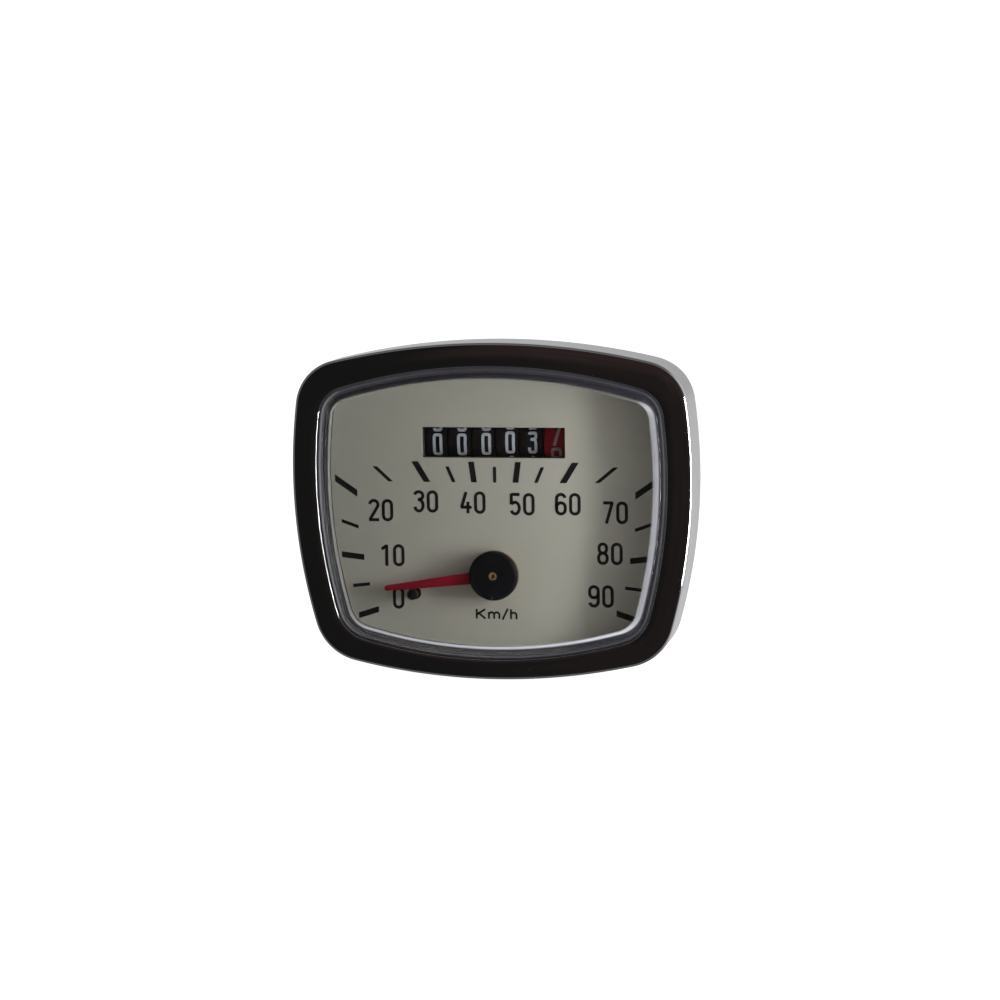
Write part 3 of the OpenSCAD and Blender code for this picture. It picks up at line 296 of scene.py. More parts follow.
def wearAndGlintGroup(s):
    # one effect for every finish: soft patches, fine grain, straight hairlines and small specks; on the stop pin the
    # specks are painted highlights
    group = bpy.data.node_groups.new("wearAndGlintSurface", "ShaderNodeTree")
    colour, number = "NodeSocketColor", "NodeSocketFloat"
    for name, value in s["inputs"].items():
        kind = colour if isinstance(value, tuple) else number
        group.interface.new_socket(name=name, in_out="INPUT", socket_type=kind).default_value = value
    for name, kind in (("Colour", colour), ("Roughness", number), ("Height", number)):
        group.interface.new_socket(name=name, in_out="OUTPUT", socket_type=kind)
    maths = lambda operation, a, b, clamp=False: mathNode(group, operation, a, b, clamp)
    noise = lambda **values: addNode(group, "TexNoise", **values).outputs["Fac"]
    inp = addNode(group, "NodeGroupInput").outputs
    place = addNode(group, "TexCoord").outputs["Object"]

    cloud = noise(in_Vector=place, in_Scale=inp["Patch Size"], in_Detail=4, in_Roughness=0.55)
    cloud = ramp(group, cloud, *s["cloud"], kind="LINEAR")
    grain = noise(in_Vector=place, in_Scale=inp["Grain Size"], in_Detail=3, in_Roughness=0.6)
    hairs = []
    for turn, stretch in s["lays"]:
        lay = addNode(group, "Mapping", in_Vector=place, in_Scale=stretch,
                      in_Rotation=(s["lean"], turn, s["twist"] * turn))
        hair = noise(in_Vector=lay.outputs[0], in_Scale=1, in_Detail=1)
        hairs.append(ramp(group, hair, *s["hair"], kind="LINEAR"))
    hairline = maths("MULTIPLY", maths("MAXIMUM", *hairs), inp["Scratches"])
    dots = addNode(group, "TexVoronoi", in_Vector=place, in_Scale=s["dotScale"], in_Randomness=1).outputs
    pick = addNode(group, "SeparateColor", in_Color=dots["Color"]).outputs
    near = maths("LESS_THAN", dots["Distance"], maths("MULTIPLY", pick[1], s["dotRadius"]))
    rare = maths("GREATER_THAN", pick[0], s["dotRarity"])
    speck = maths("MULTIPLY", maths("MULTIPLY", near, rare), inp["Specks"], True)

    tone = mixColour(group, maths("MULTIPLY", cloud, inp["Patch Amount"], True), inp["Base"], inp["Patch"])
    rough = maths("MULTIPLY", maths("SUBTRACT", cloud, 0.5), inp["Roughness Spread"])
    rough = maths("ADD", maths("ADD", rough, inp["Roughness"]), maths("MULTIPLY", hairline, s["hairRough"]))
    height = maths("MULTIPLY", grain, inp["Grain Height"])
    height = maths("SUBTRACT", height, maths("MULTIPLY", hairline, s["hairDepth"]))
    addNode(group, "NodeGroupOutput", in_Colour=mixColour(group, speck, tone, inp["Speck Colour"]),
            in_Roughness=maths("ADD", rough, maths("MULTIPLY", speck, s["dotRough"]), True),
            in_Height=maths("ADD", height, maths("MULTIPLY", speck, s["dotHeight"])))
    return group


wearAndGlintSurface = wearAndGlintGroup(wearAndGlintSet)


def wornMaterial(name, base, patch, settings):
    # a Principled surface whose colour and roughness come from the shared surface of wear marks, which on the stop pin
    # also paints highlights
    material = bpy.data.materials.new(name)
    material.use_nodes = True
    tree = material.node_tree
    shader = tree.nodes["Principled BSDF"]
    worn = addNode(tree, "Group", node_tree=wearAndGlintSurface)
    for key, value in {"Base": (*base, 1), "Patch": (*patch, 1), **settings}.items():
        (worn if key in worn.inputs else shader).inputs[key].default_value = value
    tree.links.new(worn.outputs["Colour"], shader.inputs["Base Color"])
    tree.links.new(worn.outputs["Roughness"], shader.inputs["Roughness"])
    return material, tree, shader, worn


def finishOf(name, base, patch, metallic, grain, wear, more=None):
    # an opaque finish, from a row of the table below
    settings = dict(zip(("Patch Size", "Patch Amount", "Roughness", "Roughness Spread", "Grain Size", "Scratches"), wear))
    material, tree, shader, worn = wornMaterial(name, base, patch, {**settings, "Metallic": metallic, **(more or {})})
    relief = addNode(tree, "Bump", in_Strength=1, in_Distance=grain * mm, in_Height=worn.outputs["Height"])
    tree.links.new(relief.outputs["Normal"], shader.inputs["Normal"])
    return material


finishSet = {
    # base colour, patch colour, metallic, height of the grain in mm,
    # (size and amount of the patches, roughness, its spread, size of the grain, scratches), what else differs
    "polishedBezelSteel": ((0.6, 0.585, 0.57), (0.5, 0.49, 0.485), 1, 0.0016, (70, 0.5, 0.07, 0.05, 900, 0.16),
        {"Grain Height": 0.25, "Specks": 0.6, "Speck Colour": (0.75, 0.75, 0.73, 1)}),
    "dialPaint": ((0.754, 0.721, 0.612), (0.72, 0.695, 0.593), 0, 0.004, (45, 0.6, 0.62, 0.08, 2600, 0),
        {"Grain Height": 0.5, "Specks": 0.16, "Speck Colour": (0.62, 0.6, 0.5, 1)}),
    "printBlack": ((0.016, 0.016, 0.017), (0.03, 0.03, 0.03), 0, 0.004, (900, 0.5, 0.5, 0.1, 3000, 0),
        {"Specks": 0.25, "Speck Colour": (0.3, 0.3, 0.28, 1), "Specular IOR Level": 0.2}),
    "pointerRed": ((0.42, 0.016, 0.036), (0.34, 0.012, 0.028), 0, 0.008, (260, 0.8, 0.45, 0.12, 2500, 0.3),
        {"Specular IOR Level": 0.2}),
    "capBlack": ((0.009, 0.009, 0.011), (0.018, 0.018, 0.021), 0, 0.006, (300, 0.6, 0.42, 0.12, 2200, 0.6),
        {"Specks": 0.6, "Speck Colour": (0.25, 0.25, 0.24, 1), "Specular IOR Level": 0.15}),
    # painted highlights: on the stop pin the pale specks, strong and bluish white, stand in for the small glints of
    # light on its glossy black
    "pinBlack": ((0.005, 0.005, 0.007), (0.014, 0.006, 0.006), 0, 0.003, (500, 0.7, 0.2, 0.08, 2000, 0.3),
        {"Specks": 2, "Speck Colour": (0.55, 0.57, 0.62, 1), "Specular IOR Level": 0.3}),
    "drumBlack": ((0.009, 0.009, 0.01), (0.026, 0.022, 0.021), 0, 0.01, (420, 0.8, 0.5, 0.2, 1800, 0),
        {"Specks": 0.5, "Speck Colour": (0.18, 0.18, 0.18, 1), "Specular IOR Level": 0.15}),
    "drumRed": ((0.4, 0.014, 0.024), (0.3, 0.011, 0.018), 0, 0.01, (400, 0.7, 0.45, 0.15, 1800, 0),
        {"Specks": 0.3, "Speck Colour": (0.4, 0.1, 0.1, 1), "Specular IOR Level": 0.15}),
    "figureWhite": ((0.78, 0.83, 0.9), (0.66, 0.7, 0.77), 0, 0.006, (900, 0.8, 0.55, 0.1, 2500, 0)),
    "figurePink": ((0.62, 0.44, 0.46), (0.5, 0.33, 0.35), 0, 0.006, (900, 0.8, 0.55, 0.1, 2500, 0)),
    "casePaint": ((0.1, 0.105, 0.11), (0.075, 0.08, 0.085), 0, 0.03, (90, 0.7, 0.48, 0.12, 2400, 0.4),
        {"Grain Height": 0.9, "Specks": 0.12}),
    "gasketRubber": ((0.022, 0.022, 0.023), (0.04, 0.04, 0.04), 0, 0.03, (160, 0.7, 0.78, 0.12, 3200, 0),
        {"Grain Height": 0.9, "Specks": 0.35, "Speck Colour": (0.12, 0.12, 0.11, 1)}),
    "zincPlate": ((0.62, 0.63, 0.62), (0.52, 0.52, 0.5), 1, 0.01, (420, 0.8, 0.32, 0.15, 2600, 0.7)),
    "dieCast": ((0.47, 0.48, 0.49), (0.38, 0.385, 0.4), 1, 0.03, (240, 0.8, 0.5, 0.16, 2800, 0.4), {"Grain Height": 0.9}),
    "bronze": ((0.45, 0.3, 0.15), (0.34, 0.22, 0.11), 1, 0.02, (500, 0.8, 0.42, 0.12, 4500, 0)),
    "softIron": ((0.33, 0.33, 0.34), (0.25, 0.24, 0.24), 1, 0.02, (350, 0.8, 0.45, 0.15, 4000, 0.6)),
    "brightBrass": ((0.71, 0.5, 0.24), (0.55, 0.36, 0.17), 1, 0.008, (380, 0.8, 0.26, 0.14, 4000, 0.7)),
    "dullBrass": ((0.66, 0.43, 0.19), (0.4, 0.22, 0.1), 0.7, 0.02, (1500, 0.7, 0.5, 0.15, 4000, 0.5)),
    "springBronze": ((0.6, 0.41, 0.22), (0.5, 0.33, 0.17), 1, 0.004, (600, 0.8, 0.24, 0.1, 4000, 0.6)),
    "brightSteel": ((0.62, 0.62, 0.62), (0.53, 0.53, 0.54), 1, 0.006, (350, 0.6, 0.2, 0.1, 4000, 0.8)),
    "cupAluminium": ((0.8, 0.81, 0.82), (0.72, 0.73, 0.75), 1, 0.006, (300, 0.6, 0.28, 0.1, 4000, 0.9)),
    "magnetGrey": ((0.1, 0.1, 0.105), (0.14, 0.135, 0.13), 0.6, 0.04, (500, 0.8, 0.6, 0.1, 3600, 0), {"Grain Height": 1}),
    "gearNylon": ((0.76, 0.72, 0.6), (0.68, 0.64, 0.52), 0, 0.01, (260, 0.7, 0.42, 0.1, 4000, 0),
        {"Subsurface Weight": 0.1}),
    "sheetSteel": ((0.6, 0.6, 0.58), (0.5, 0.5, 0.49), 1, 0.01, (200, 0.8, 0.34, 0.14, 4000, 0.9)),
    "carrierBlack": ((0.012, 0.011, 0.011), (0.03, 0.022, 0.02), 0, 0.01, (500, 0.8, 0.5, 0.1, 4000, 0),
        {"Specular IOR Level": 0.15}),
    "bluedSteel": ((0.1, 0.11, 0.15), (0.15, 0.14, 0.14), 1, 0.006, (500, 0.8, 0.3, 0.1, 4000, 0.6)),
    "brownLaminate": ((0.17, 0.085, 0.035), (0.12, 0.06, 0.026), 0, 0.02, (700, 0.8, 0.5, 0.1, 2600, 0),
        {"Grain Height": 0.8}),
}
finish = {name: finishOf(name, *row) for name, row in finishSet.items()}

clearSet = {"settings": {"Roughness Spread": 0.03, "Scratches": 0.06, "Patch Size": 60},
            "patch": (0.97, 0.98, 0.98), "shadow": (0.93, 0.94, 0.93, 1), "streaks": 420, "streakCover": (0.2, 0.9)}


def clearMaterial(name, tint, roughness, ior, painted=False, s=clearSet):
    # clear plastic or glass, which lets shadow rays through so that what lies behind is lit
    patch = [a * b for a, b in zip(tint, s["patch"])]
    material, tree, shader, worn = wornMaterial(name, tint, patch, {
        **s["settings"], "Roughness": roughness, "Transmission Weight": 1, "IOR": ior})
    clear = addNode(tree, "BsdfTransparent", in_Color=s["shadow"])
    shadow = addNode(tree, "LightPath").outputs["Is Shadow Ray"]
    seen = mixShaders(tree, shadow, shader.outputs[0], clear.outputs[0])
    if painted:
        # painted highlight, reflection and shade: the moulded edge's bright lines, pale reflected line and dark band
        # are painted on the mesh as a colour with a cover, and mixed over the glass as a diffuse film that shadow rays
        # pass
        edge = addNode(tree, "Attribute", attribute_name="paintedEdgeLight").outputs
        place = addNode(tree, "TexCoord").outputs["Object"]
        streaks = addNode(tree, "TexNoise", in_Vector=place, in_Scale=s["streaks"], in_Detail=3).outputs["Fac"]
        share, least = s["streakCover"]
        uneven = mathNode(tree, "ADD", mathNode(tree, "MULTIPLY", streaks, share), least)
        lit = mathNode(tree, "SUBTRACT", 1, shadow)
        cover = mathNode(tree, "MULTIPLY", mathNode(tree, "MULTIPLY", edge["Alpha"], uneven), lit, True)
        edgeLightShader = addNode(tree, "BsdfDiffuse", in_Color=edge["Color"])
        seen = mixShaders(tree, cover, seen, edgeLightShader.outputs[0])
    tree.links.new(seen, tree.nodes["Material Output"].inputs["Surface"])
    return material


finish["clearLens"] = clearMaterial("clearLens", (0.985, 0.98, 0.98), 0.015, 1.49, True)
finish["bulbGlass"] = clearMaterial("bulbGlass", (0.98, 0.985, 0.98), 0.02, 1.5)

dialFace = -32.8    # the dial's front, in mm
darkBehindSet = {"colour": (0.03, 0.03, 0.03, 1), "faceDepth": 0.03}


def darkBehindFront(material, frontY, s):
    # what lies behind the front face, cut edges and the window's walls too, is coloured dark
    tree = material.node_tree
    base = tree.nodes["Principled BSDF"].inputs["Base Color"]
    place = addNode(tree, "TexCoord").outputs["Object"]
    depth = addNode(tree, "SeparateXYZ", in_Vector=place).outputs["Y"]
    behind = mathNode(tree, "GREATER_THAN", depth, (frontY + s["faceDepth"]) * mm)
    tree.links.new(mixColour(tree, behind, base.links[0].from_socket, s["colour"]), base)


darkBehindFront(finish["dialPaint"], dialFace, darkBehindSet)

nodeFinish = {
    "casePaint": "case", "gasketRubber": "mounting_gasket lens_seal", "polishedBezelSteel": "bezel", "dialPaint": "dial",
    "clearLens": "lens", "bulbGlass": "lamp_bulb", "pointerRed": "needle", "capBlack": "hub_cap", "pinBlack": "stop_pin",
    "zincPlate": "studs threaded_nose frame_screws bridge_screws bracket_screws lamp_holder", "dieCast": "frame",
    "bronze": "rear_bush front_bush", "softIron": "flux_ring", "dullBrass": "hub_disc hub_bush",
    "brightBrass": "bridge front_bearing spring_stud spring_collet cup_hub spindle_worm cross_worm lamp_cap lamp_blade",
    "springBronze": "hairspring", "cupAluminium": "drag_cup", "magnetGrey": "magnet",
    "brightSteel": "pointer_spindle drive_spindle magnet_hub thrust_washer cross_shaft drum_shaft end_washer",
    "gearNylon": "cross_wheel drum_wheel tenths_pinion units_pinion tens_pinion hundreds_pinion thousands_pinion",
    "sheetSteel": "counter_bracket", "carrierBlack": "carrier_plates", "bluedSteel": "shaft_clips",
    "drumRed": "tenths_drum", "drumBlack": "units_drum tens_drum hundreds_drum thousands_drum ten_thousands_drum",
    "brownLaminate": "lamp_insulator",
}
nodesByFinish = {name: key for key, names in nodeFinish.items() for name in names.split()}
for name, key in nodesByFinish.items():
    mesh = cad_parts[name].data
    mesh.materials.clear()
    mesh.materials.append(finish[key])
print("finishes set on", len(nodesByFinish), "pieces of the frame")


# camera and light

viewSet = {"aroundDeg": 11.8474, "aboveDeg": 9, "rollDeg": 0.9176, "distance": 600, "aim": (0, -38, -0.45),
           "lens": 101.647, "sensor": 36, "shiftX": 0.00903, "shiftY": 0.0798, "clip": (0.01, 50)}


def makeCamera(v):
    # looks at the pointer axis in the plane of the bezel lip; the shift frames the whole instrument
    a, e, r = (math.radians(v[k]) for k in ("aroundDeg", "aboveDeg", "rollDeg"))
    back = Vector((math.sin(a) * math.cos(e), -math.cos(a) * math.cos(e), math.sin(e)))
    right = Vector((math.cos(a), math.sin(a), 0))
    up = back.cross(right)
    rightTurned = right * math.cos(r) - up * math.sin(r)
    upTurned = right * math.sin(r) + up * math.cos(r)
    camera = bpy.data.objects.new("camera", bpy.data.cameras.new("camera"))
    bpy.context.scene.collection.objects.link(camera)
    place = Matrix((rightTurned, upTurned, back)).transposed().to_4x4()
    place.translation = (Vector(v["aim"]) + back * v["distance"]) * mm
    camera.matrix_world = place
    camera.data.sensor_width = v["sensor"]
    camera.data.lens = v["lens"]
    camera.data.shift_x, camera.data.shift_y = v["shiftX"], v["shiftY"]
    camera.data.clip_start, camera.data.clip_end = v["clip"]
    bpy.context.scene.camera = camera


makeCamera(viewSet)

lightSet = {
    # place in mm, aim in mm, size in mm, power in watts, colour, seen in reflections
    "window": {"place": (155, -73, 10), "aim": (10, -33, 12), "size": (14, 110), "power": 0.275,
               "colour": (0.97, 0.985, 1), "mirrored": True},
    "room": {"place": (-260, -620, 120), "aim": (0, -38, 10), "size": (420, 420), "power": 0.08,
             "colour": (1, 0.98, 0.95), "mirrored": False},
}
for name, s in lightSet.items():
    lamp = bpy.data.lights.new(name, "AREA")
    lamp.shape = "RECTANGLE"
    lamp.size, lamp.size_y = s["size"][0] * mm, s["size"][1] * mm
    lamp.energy = s["power"]
    lamp.color = s["colour"]
    shine = bpy.data.objects.new(name, lamp)
    shine.location = Vector(s["place"]) * mm
    shine.rotation_euler = (Vector(s["place"]) - Vector(s["aim"])).to_track_quat("Z", "Y").to_euler()
    shine.visible_glossy = s["mirrored"]
    shine.visible_transmission = False
    bpy.context.scene.collection.objects.link(shine)


skySet = {
    # what the dark band mirrors from in front, and the warm glow that it mirrors along its top and right
    "front": (0.0125, 0.0125, 0.0125, 1), "frontWarm": (0.042, 0.028, 0.028, 1), "rightGlow": 0.3, "patches": 22,
    "cool": (0.965, 0.975, 1, 1), "above": 0.15, "behindHigh": 0.74, "behindLow": 0.92, "beside": 0.9,
    "straightHigh": 0.5, "straightLow": 0.62,         # dimmer straight behind, where the bezel's flat sides mirror it
    "backdrop": 1.05,                                 # what the camera itself sees
    # where each change begins and ends along X (right), Y (away from the camera) and Z (up) of the direction looked in
    "level": (-0.10, 0.07), "glowTop": (-0.12, -0.02), "glowTopFrom": (-0.25, -0.19), "glowRight": (-0.24, -0.14),
    "spots": (0.3, 0.62, 0.35, 1.25), "back": (0.35, 0.93), "straight": (0.86, 0.96), "besideX": (0.42, 0.78),
    "besideY": (-0.04, 0.12), "facing": (-0.5, 0.15, 1, 0),
}


def makeSky(s):
    # dark in front, dim overhead and bright behind, brighter low than high; the camera sees a plain white backdrop
    world = bpy.data.worlds.new("studio")
    bpy.context.scene.world = world
    world.use_nodes = True
    tree = world.node_tree
    tree.nodes.clear()
    maths = lambda operation, a, b: mathNode(tree, operation, a, b)
    change = lambda value, span, *ends: ramp(tree, value, *span, *ends)
    way = addNode(tree, "TexCoord").outputs["Generated"]
    x, y, z = addNode(tree, "SeparateXYZ", in_Vector=way).outputs

    cloud = addNode(tree, "TexNoise", in_Vector=way, in_Scale=s["patches"], in_Detail=3).outputs["Fac"]
    top = maths("MULTIPLY", change(z, s["glowTop"]), change(x, s["glowTopFrom"]))
    warm = maths("MAXIMUM", change(x, s["glowRight"], 0, s["rightGlow"]), top)
    warm = maths("MULTIPLY", warm, change(cloud, s["spots"]))
    around = change(y, s["back"], s["above"], change(z, s["level"], s["behindLow"], s["behindHigh"]))
    around = change(y, s["straight"], around, change(z, s["level"], s["straightLow"], s["straightHigh"]))
    right = maths("MULTIPLY", change(x, s["besideX"], 0, s["beside"]), change(y, s["besideY"]))
    around = maths("MAXIMUM", around, right)
    facing = change(y, s["facing"])
    light = mixColour(tree, facing, s["cool"], mixColour(tree, warm, s["front"], s["frontWarm"]))
    strength = maths("MAXIMUM", maths("MULTIPLY", around, maths("SUBTRACT", 1, facing)), facing)
    camera = addNode(tree, "LightPath").outputs["Is Camera Ray"]
    seen = addNode(tree, "Mix", data_type="FLOAT")
    for index, value in ((0, camera), (2, strength), (3, s["backdrop"])):
        feed(tree, seen.inputs[index], value)
    glow = addNode(tree, "Background", in_Strength=seen.outputs[0],
                   in_Color=mixColour(tree, camera, light, (1, 1, 1, 1)))
    addNode(tree, "OutputWorld", in_Surface=glow.outputs[0])


makeSky(skySet)

floorSet = {"height": -22.5, "reach": 6000, "tone": (0.93, 0.93, 0.93), "patch": 0.985, "glow": 0.95, "glowCast": 0.35,
            "wear": (3, 0.5, 0.8, 0.05, 900, 0)}


def makeFloor(s):
    # one large quad, bright to the camera so that it meets the white backdrop, and weaker as a light
    patch = [s["patch"] * v for v in s["tone"]]
    material = finishOf("paleFloor", s["tone"], patch, 0, 0.02, s["wear"])
    tree = material.node_tree
    shader = tree.nodes["Principled BSDF"].inputs
    shader["Emission Color"].default_value = (1, 1, 1, 1)
    camera = addNode(tree, "LightPath").outputs["Is Camera Ray"]
    extra = mathNode(tree, "MULTIPLY", camera, s["glow"] - s["glowCast"])
    tree.links.new(mathNode(tree, "ADD", extra, s["glowCast"]), shader["Emission Strength"])
    corners = np.array([[-1, -1, 0], [1, -1, 0], [1, 1, 0], [-1, 1, 0]]) * s["reach"] + [0, 0, s["height"]]
    floor = meshPiece("floor", corners, [np.array([[0, 1, 2, 3]])], material)
    # lens and bezel mirror the dark side of the studio, not the floor, as in the picture
    floor.visible_glossy = floor.visible_transmission = False


makeFloor(floorSet)
bpy.context.scene.view_settings.view_transform = "Standard"
print("camera, light and floor set")


# bezel, lens, case and gasket

bezelSet = {"sheet": 0.6, "depth": 12.6, "edgeRadius": 1.15, "lipRadius": 0.3, "lipInside": (0.06, 0.08), "crown": 0.1,
            "straightEnd": 0.7, "rearRadius": 0.5,
            "rollReach": 3, "rollThick": 0.58, "rollEdge": (0.2, 0.15), "rollCorner": (0.2, 0.3)}


def bezelStations(s):
    # round lip, crowned band from the opening to the outer edge, round front edge, side wall, rear edge rolled inwards
    t, r, lip, deep, rear, roll = (s[k] for k in ("sheet", "edgeRadius", "lipRadius", "depth", "rearRadius", "rollReach"))
    run = [("opening", o, y) for o, y in roundTurn(lip, lip, lip, 180, 270, 7)]
    start, end = ringOf("opening", lip, 0), ringOf("bezel", -r, 0)
    for u in np.linspace(0, 1, 16)[1:-1]:
        run.append(start + (end - start) * u - [0, s["crown"] * 2 * u * (1 - u), 0])
    outer = roundTurn(-r, r, r, 270, 360, 16)
    outer += [(0, y) for y in np.linspace(r, deep - s["straightEnd"], 8)[1:]]
    outer += roundTurn(-rear, deep - rear, rear, 0, 90, 7)[1:]
    inside, (edgeX, edgeY), (cornerX, cornerY) = deep - s["rollThick"], s["rollEdge"], s["rollCorner"]
    outer += [(edgeX - roll, deep), (-roll, deep - edgeY), (-roll, inside), (-t - cornerX, inside)]
    outer += [(-t, deep - t - cornerY), (-t, r), (-r, t)]
    run += [("bezel", o, y) for o, y in outer]
    lipX, lipY = s["lipInside"]
    return run + [("opening", lip, t), ("opening", lipX, t - lipY)]


settle(loft("bezel_polished", bezelStations(bezelSet), finish["polishedBezelSteel"], closed=True),
       "bezel")

lensSet = {"gap": 0.3, "shoulder": 3, "innerRound": 1.3, "proud": 0.2, "crown": 1.2, "thick": 1.6, "flange": 2.4,
           "flangeFront": 0.6, "flangeBack": 2.1, "foot": 5.1,
           "bevels": (0.1, 0.15, 0.12)}    # at the flange's edge, under the flange and at the foot of the skirt
lensEdgeSet = {
    # painted highlight, reflection and shade on the moulded lens edge, stronger on the sides where light falls: offsets
    # from the opening in mm; how strong each is where the outline faces right, left, up, down and the top corners
    # the line is a painted highlight, the rim a painted reflection of the bright studio, and the dark band over the
    # middle painted shade
    "line": -2.74, "lineWidth": 0.2, "lineSides": (0.27, 0.62, 0.04, 1, 0.45), "lineColour": (0.93, 0.94, 1),
    "lineSpread": (0.85, 0, 0, 0.22, 0),        # how far the line stays bright outwards before it fades, by side
    "rim": -0.6, "rimWidth": 0.2, "rimSides": (0.42, 0.6, 0.03, 0.1, 0.15), "rimColour": (0.60, 0.61, 0.70),
    "edgeShade": (-2.62, -2.25), "edgeShadeSides": (0.66, 0.72, 0.93, 0.74, 0), "edgeShadeColour": (0.055, 0.052, 0.066),
    "lineMost": 0.95, "rimMost": 0.9,
    "stops": (-1.1, -0.95, -0.8, -0.7, -0.6, -0.5, -0.4, -0.25, -0.1, 0.1, 0.4),    # offsets that carry the paint outside
}


def lensProfile(s, stops):
    # crowned front, round shoulder, flange, straight skirt, then the inside back up to a crowned ceiling;
    # the last number of each station is 1 on the part of the front that shows inside the bezel
    wall, proud, crown, inner = -s["gap"], s["proud"], s["crown"], s["innerRound"]
    dome, inside, rim = wall - s["shoulder"], wall - s["thick"], wall + s["flange"]
    front, back, foot = s["flangeFront"], s["flangeBack"], s["foot"]
    shrink = np.linspace(0.06, 1, 18)
    run = [(dome, -proud - crown * (1 - k * k), k, float(k == 1)) for k in shrink]
    turn = math.degrees(math.acos(1 - (proud + front) / s["shoulder"]))
    shoulder = roundTurn(dome, -proud + s["shoulder"], s["shoulder"], 270, 270 + turn, 19)[1:]
    run += [(*p, 1, 1) for p in shoulder + [(k, front) for k in stops]]
    edge, under, low = s["bevels"]
    side = [(rim - edge, front), (rim, front + edge), (rim, back - edge), (rim - edge, back), (wall + under, back),
            (wall, back + under), (wall, foot - low), (wall - low, foot), (inside + low, foot), (inside, foot - low)]
    ceiling = s["thick"] - proud
    side += roundTurn(inside - inner, ceiling + inner, inner, 0, -90, 9)
    run += [(*p, 1, 0) for p in side]
    return run + [(inside - inner, ceiling - crown * (1 - k * k), k, 0) for k in shrink[::-1][1:]]


def paintLensEdge(piece, run, s):
    # painted highlight and shade: a bright highlight line inside, a dark band of painted shade over the middle and a
    # pale line of painted reflection outside, each a bell round its offset and weighted by the way the outline faces
    # the light
    offset, front = (np.array([p[i] for p in run])[:, None] for i in (0, 3))
    nx, nz = edges["opening"][1].T
    sides = np.stack([np.clip(k, 0, 1) ** 2 for k in (nx, -nx, nz, -nz)] + [4 * nx ** 2 * np.clip(nz, 0, 1) ** 2])
    strength = lambda key: np.array(s[key]) @ sides
    bell = lambda centre, width, spread=0: np.exp(-((offset - np.clip(offset, centre, centre + spread)) / width) ** 2)
    line = np.clip(bell(s["line"], s["lineWidth"], strength("lineSpread")) * strength("lineSides"), 0, s["lineMost"])
    rim = np.clip(bell(s["rim"], s["rimWidth"]) * strength("rimSides"), 0, s["rimMost"]) * (1 - line)
    low, high = s["edgeShade"]
    edgeShade = strength("edgeShadeSides") * np.clip((offset - low) / (high - low), 0, 1) * (1 - line - rim)
    cover = line + rim + edgeShade
    parts = ((line, "lineColour"), (rim, "rimColour"), (edgeShade, "edgeShadeColour"))
    mixed = sum(part[..., None] * np.array(s[name]) for part, name in parts)
    tone = np.zeros((len(piece.data.vertices), 4), dtype=np.float32)
    tone[:cover.size, :3] = (mixed / np.maximum(cover, 1e-6)[..., None]).reshape(-1, 3)
    tone[:cover.size, 3] = (cover * front).ravel()
    piece.data.attributes.new("paintedEdgeLight", "FLOAT_COLOR", "POINT").data.foreach_set("color", tone.ravel())


lensRun = lensProfile(lensSet, lensEdgeSet["stops"])
lens = loft("lens_clear", [("opening", *p[:3]) for p in lensRun], finish["clearLens"], poles=("front", "back"))
paintLensEdge(lens, lensRun, lensEdgeSet)
settle(lens, "lens")

caseSet = {"wallGap": 0.9, "rimFront": 3.1, "shoulder": 12, "seat": 2.3, "dialBack": 6.8, "body": -1, "rearRadius": 3.5,
           "cavity": -2.3, "cavityDepth": 6, "soft": 0.1, "bevel": 0.3, "bodyStart": 2}


def caseStations(s):
    # rim inside the bezel with a seat for the dial, shoulder, straight body, round rear edge and a closed back
    deep, gap, soft = frontShape["bodyDepth"], -s["wallGap"], s["soft"]
    front, shoulder, seatOff, bodyOff, r = (s[k] for k in ("rimFront", "shoulder", "seat", "body", "rearRadius"))
    seat = [(s["cavity"], s["dialBack"] + s["cavityDepth"]), (s["cavity"], s["dialBack"]), (seatOff, s["dialBack"]),
            (seatOff, front + soft), (seatOff + soft, front)]
    rim = [(gap - soft, front), (gap, front + soft), (gap, shoulder - soft), (gap - soft, shoulder)]
    body = [(bodyOff + s["bevel"], shoulder), (bodyOff, shoulder + s["bevel"])]
    body += [(bodyOff, y) for y in np.linspace(shoulder + s["bodyStart"], deep - r, 8)]
    body += roundTurn(bodyOff - r, deep - r, r, 0, 90, 12)[1:]
    run = [("opening", *p) for p in seat] + [("bezel", *p) for p in rim] + [("opening", *p) for p in body]
    return run + [("opening", bodyOff - r, deep, k) for k in np.linspace(1, 0.08, 12)[1:]]


settle(loft("case_shell", caseStations(caseSet), finish["casePaint"], poles=("back",)), "case")

gasketSet = {"inner": -0.95, "inset": 0.3, "front": 12.6, "back": 14.6, "edge": 0.35, "groove": (0.35, 0.18)}


def gasketStations(s):
    # flat ring with rounded edges and a shallow groove round its outside
    i, o, f, b, r = s["inner"], -s["inset"], s["front"], s["back"], s["edge"]
    middle = (f + b) / 2
    front, rear = roundTurn(i + r, f + r, r, 180, 270, 5), roundTurn(i + r, b - r, r, 90, 180, 5)
    outer = roundTurn(o - r, f + r, r, 270, 360, 6)
    half, depth = s["groove"]
    outer += [(o, middle - half), (o - depth, middle), (o, middle + half)]
    outer += roundTurn(o - r, b - r, r, 0, 90, 6)
    return [("opening", *p) for p in front] + [("bezel", *p) for p in outer] + [("opening", *p) for p in rear]


settle(loft("gasket_ring", gasketStations(gasketSet), finish["gasketRubber"], closed=True),
       "mounting_gasket")
print("bezel, lens, case and gasket made")


# dial plate

dialPlateSet = {"windowHalfWidth": 15.35, "windowHalfHeight": 3.15, "windowHeight": 28.3, "bevelNow": 0.4, "bevel": 0.12,
                "near": 0.05}


